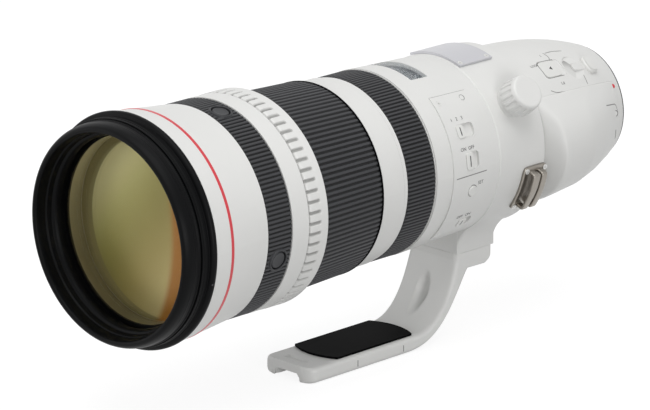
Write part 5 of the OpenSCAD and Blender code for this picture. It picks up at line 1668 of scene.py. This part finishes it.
    def section(self) -> tuple[np.ndarray, np.ndarray, np.ndarray]:
        """A rounded rectangle: straight sides between corners, and the outward step of each corner.

        Returns:
            Across shares from -1 to 1, up shares from 0 to 1, and the unit steps at the corners.
        """
        wall = self.channel[0] / (self.half_width - self.edge) * np.array([0.96, 0.98, 1.0, 1.02, 1.04, 1.07])
        side = np.unique(np.concatenate([np.linspace(-1.0, 1.0, 41), wall, -wall]))[1:-1, None]
        rise = np.linspace(0.0, 1.0, 7)[1:-1, None]
        quarter = np.linspace(0.0, math.pi / 2, 7)[:, None]
        straight = (side * [1, 0, 0, 0] + [0, 0, 0, -1], rise * [0, 1, 0, 0] + [1, 0, 1, 0],
                    side[::-1] * [1, 0, 0, 0] + [0, 1, 0, 1], rise[::-1] * [0, 1, 0, 0] + [-1, 0, -1, 0])
        corners = ((1, 0, -math.pi / 2), (1, 1, 0.0), (-1, 1, math.pi / 2), (-1, 0, math.pi))
        parts = []
        for line, (across, up, start) in zip(straight, corners):
            turn = start + quarter
            parts += [line, np.hstack([0 * turn + across, 0 * turn + up, np.cos(turn), np.sin(turn)])]
        loop = np.vstack(parts)
        return loop[:, 0], loop[:, 1], loop[:, 2:]


@dataclass
class CollarFairing:
    """The smooth root of the foot under the collar: straight sides with a wide fillet into the ring.

    Each side is a cubic curve from the ring to the block's lower edge; the ends are drawn in by a
    quarter round. Sizes in mm.
    """
    half_width: float = 18.85
    floor: float = -59.95
    stations: tuple[float, float] = (92.2, 121.5)
    ring_radius: float = 50.75
    meet: float = 36.5
    fillet: float = 7.5
    lower_pull: float = 9.0
    edge: float = 0.6
    under_gap: float = 1.2
    rounding: float = 1.6

    def build(self) -> bpy.types.Object:
        """Makes the fairing.

        Returns:
            The fairing's object.
        """
        a = math.radians(self.meet)
        start = np.array([self.ring_radius * math.sin(a), -self.ring_radius * math.cos(a)])
        along = np.array([-math.cos(a), -math.sin(a)])
        corner = np.array([self.half_width, self.floor])
        edge = corner + [0.0, self.edge]
        side = bezier([start, start + along * self.fillet, corner + [0.0, self.lower_pull], edge],
                      np.linspace(0.0, 1.0, 24))
        foot = bezier([edge, corner + [0.0, 0.1], corner + [-0.1, 0.0], corner + [-self.edge, 0.0]],
                      np.linspace(0.15, 1.0, 5))
        right = np.vstack([side, foot])
        left = right[::-1] * [-1.0, 1.0]
        inner = np.linspace(-a, a, 21)[1:-1]
        under = np.stack([np.sin(inner), -np.cos(inner)], axis=1) * (self.ring_radius - self.under_gap)
        loop = np.vstack([right, left, under])
        centre = np.array([0.0, (self.floor - self.ring_radius) / 2])
        turn = np.linspace(0.0, math.pi / 2, 6)
        end_in, end_on = self.rounding * (1 - np.sin(turn)), self.rounding * (1 - np.cos(turn))
        near, far = self.stations
        inset = np.concatenate([end_in, np.zeros(20), end_in[::-1]])
        middle = np.linspace(near + self.rounding, far - self.rounding, 22)[1:-1]
        station = np.concatenate([near + end_on, middle, far - end_on[::-1]])
        scale = 1.0 - inset[:, None, None] / self.half_width
        flat = centre + (loop[None] - centre) * scale
        along_axis = np.broadcast_to(-station[:, None], flat.shape[:2])
        points = np.stack([flat[..., 0], along_axis, flat[..., 1]], axis=-1) * MM
        piece = grid_piece("collar_fairing", points, False, True, 40.0, caps=True)
        return settle(piece, "collar", WHITE_PAINT)


@dataclass(frozen=True)
class Softbox:
    """A square area lamp that looks at a point. Lengths in metres, power in watts."""
    name: str
    place: Point
    aim: Point
    size: float
    watts: float

    def build(self) -> None:
        """Makes the lamp."""
        data = bpy.data.lights.new(self.name, "AREA")
        data.size, data.energy = self.size, self.watts
        away = np.array(self.place) - np.array(self.aim)
        right = np.cross([0.0, 0.0, 1.0], away)
        stand(self.name, data, self.place, right / np.linalg.norm(right), away / np.linalg.norm(away))


def stand(name: str, data: bpy.types.ID, place: Point, right: np.ndarray,
          back: np.ndarray) -> bpy.types.Object:
    """Stands a camera or lamp in its place: its X is right, its Z is back, and it looks away from its Z.

    Args:
        name: name of the object.
        data: the camera or lamp.
        place: where it stands.
        right: unit vector to its right.
        back: unit vector to its back.

    Returns:
        The new object.
    """
    thing = bpy.data.objects.new(name, data)
    turn = Matrix(np.column_stack([right, np.cross(back, right), back]).tolist()).to_4x4()
    thing.matrix_world = Matrix.Translation(place) @ turn
    bpy.context.scene.collection.objects.link(thing)
    return thing


@dataclass
class Studio:
    """Camera, lamps, world and floor. Angles in degrees, lengths in metres."""
    azimuth: float = 44.778
    elevation: float = 16.8955
    focal_px: float = 4805.77
    width_px: float = 650.0
    sensor: float = 36.0
    position: Point = (1.759147, -1.979565, 0.741701)
    lamps: tuple[Softbox, ...] = (
        Softbox("key_softbox", (0.35, -0.6, 1.7), (0.0, -0.18, 0.0), 1.6, 18.5),
        Softbox("front_softbox", (-1.7, -2.2, 0.5), (0.0, -0.3, 0.0), 1.8, 12.5),
        Softbox("side_softbox", (1.95, -1.0, 0.1), (0.0, -0.2, -0.03), 0.9, 18.0))
    world_light: float = 0.5
    floor_height: float = -0.1093
    floor_reach: float = 6.0

    def build(self) -> None:
        """Sets the camera, the lamps, the world and the floor."""
        scene = bpy.context.scene
        scene.view_settings.view_transform = "Standard"
        scene.camera = self.camera()
        for lamp in self.lamps:
            lamp.build()
        scene.world = self.world()
        self.floor()

    def camera(self) -> bpy.types.Object:
        """Makes the camera from its azimuth and elevation: its back points away from the object.

        Returns:
            The camera's object.
        """
        az, el = math.radians(self.azimuth), math.radians(self.elevation)
        data = bpy.data.cameras.new("photo_camera")
        data.sensor_width = self.sensor
        data.lens = self.focal_px * self.sensor / self.width_px
        data.clip_end = 50.0
        right = np.array([math.cos(az), math.sin(az), 0.0])
        back = np.array([math.sin(az) * math.cos(el), -math.cos(az) * math.cos(el), math.sin(el)])
        return stand("photo_camera", data, self.position, right, back)

    def world(self) -> bpy.types.World:
        """A white world for what sees it directly, in gloss or through glass, and a softer one as light.

        Returns:
            The world.
        """
        world = bpy.data.worlds.new("studio_white")
        world.use_nodes = True
        tree = world.node_tree
        strength = add_node(tree, "MapRange", "Result", {
            "Value": ray_mark(tree), "To Min": self.world_light, "To Max": 1.0})
        fill(tree, tree.nodes["Background"], {"Color": (1.0, 1.0, 1.0, 1.0), "Strength": strength})
        return world

    def floor(self) -> bpy.types.Object:
        """A wide flat floor in white paper.

        Returns:
            The floor's object.
        """
        side = np.linspace(-self.floor_reach, self.floor_reach, 9)
        x, y = np.meshgrid(side, side, indexing="ij")
        points = np.stack([x, y, np.full_like(x, self.floor_height)], axis=-1)
        floor = grid_piece("studio_floor", points, False, False)
        dress(floor, FLOOR_PAPER)
        return floor


def main() -> None:
    """Dresses the CAD nodes, builds the sub-assemblies in order and sets up the studio."""
    logging.basicConfig(level=logging.INFO, format="%(name)s: %(message)s")
    finishes = {node: finish for finish, nodes in NODE_FINISHES.items() for node in nodes}
    for node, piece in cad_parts.items():
        dress(piece, finishes[node])
    for assembly in (FrontEnd(), Rings(), SwitchPanel(), DistanceWindow(), RearHousing(), SideCover(),
                     LockKnob(), StrapLug(), TripodFoot(), CollarFairing(), Studio()):
        assembly.build()


if __name__ == "__main__":
    main()
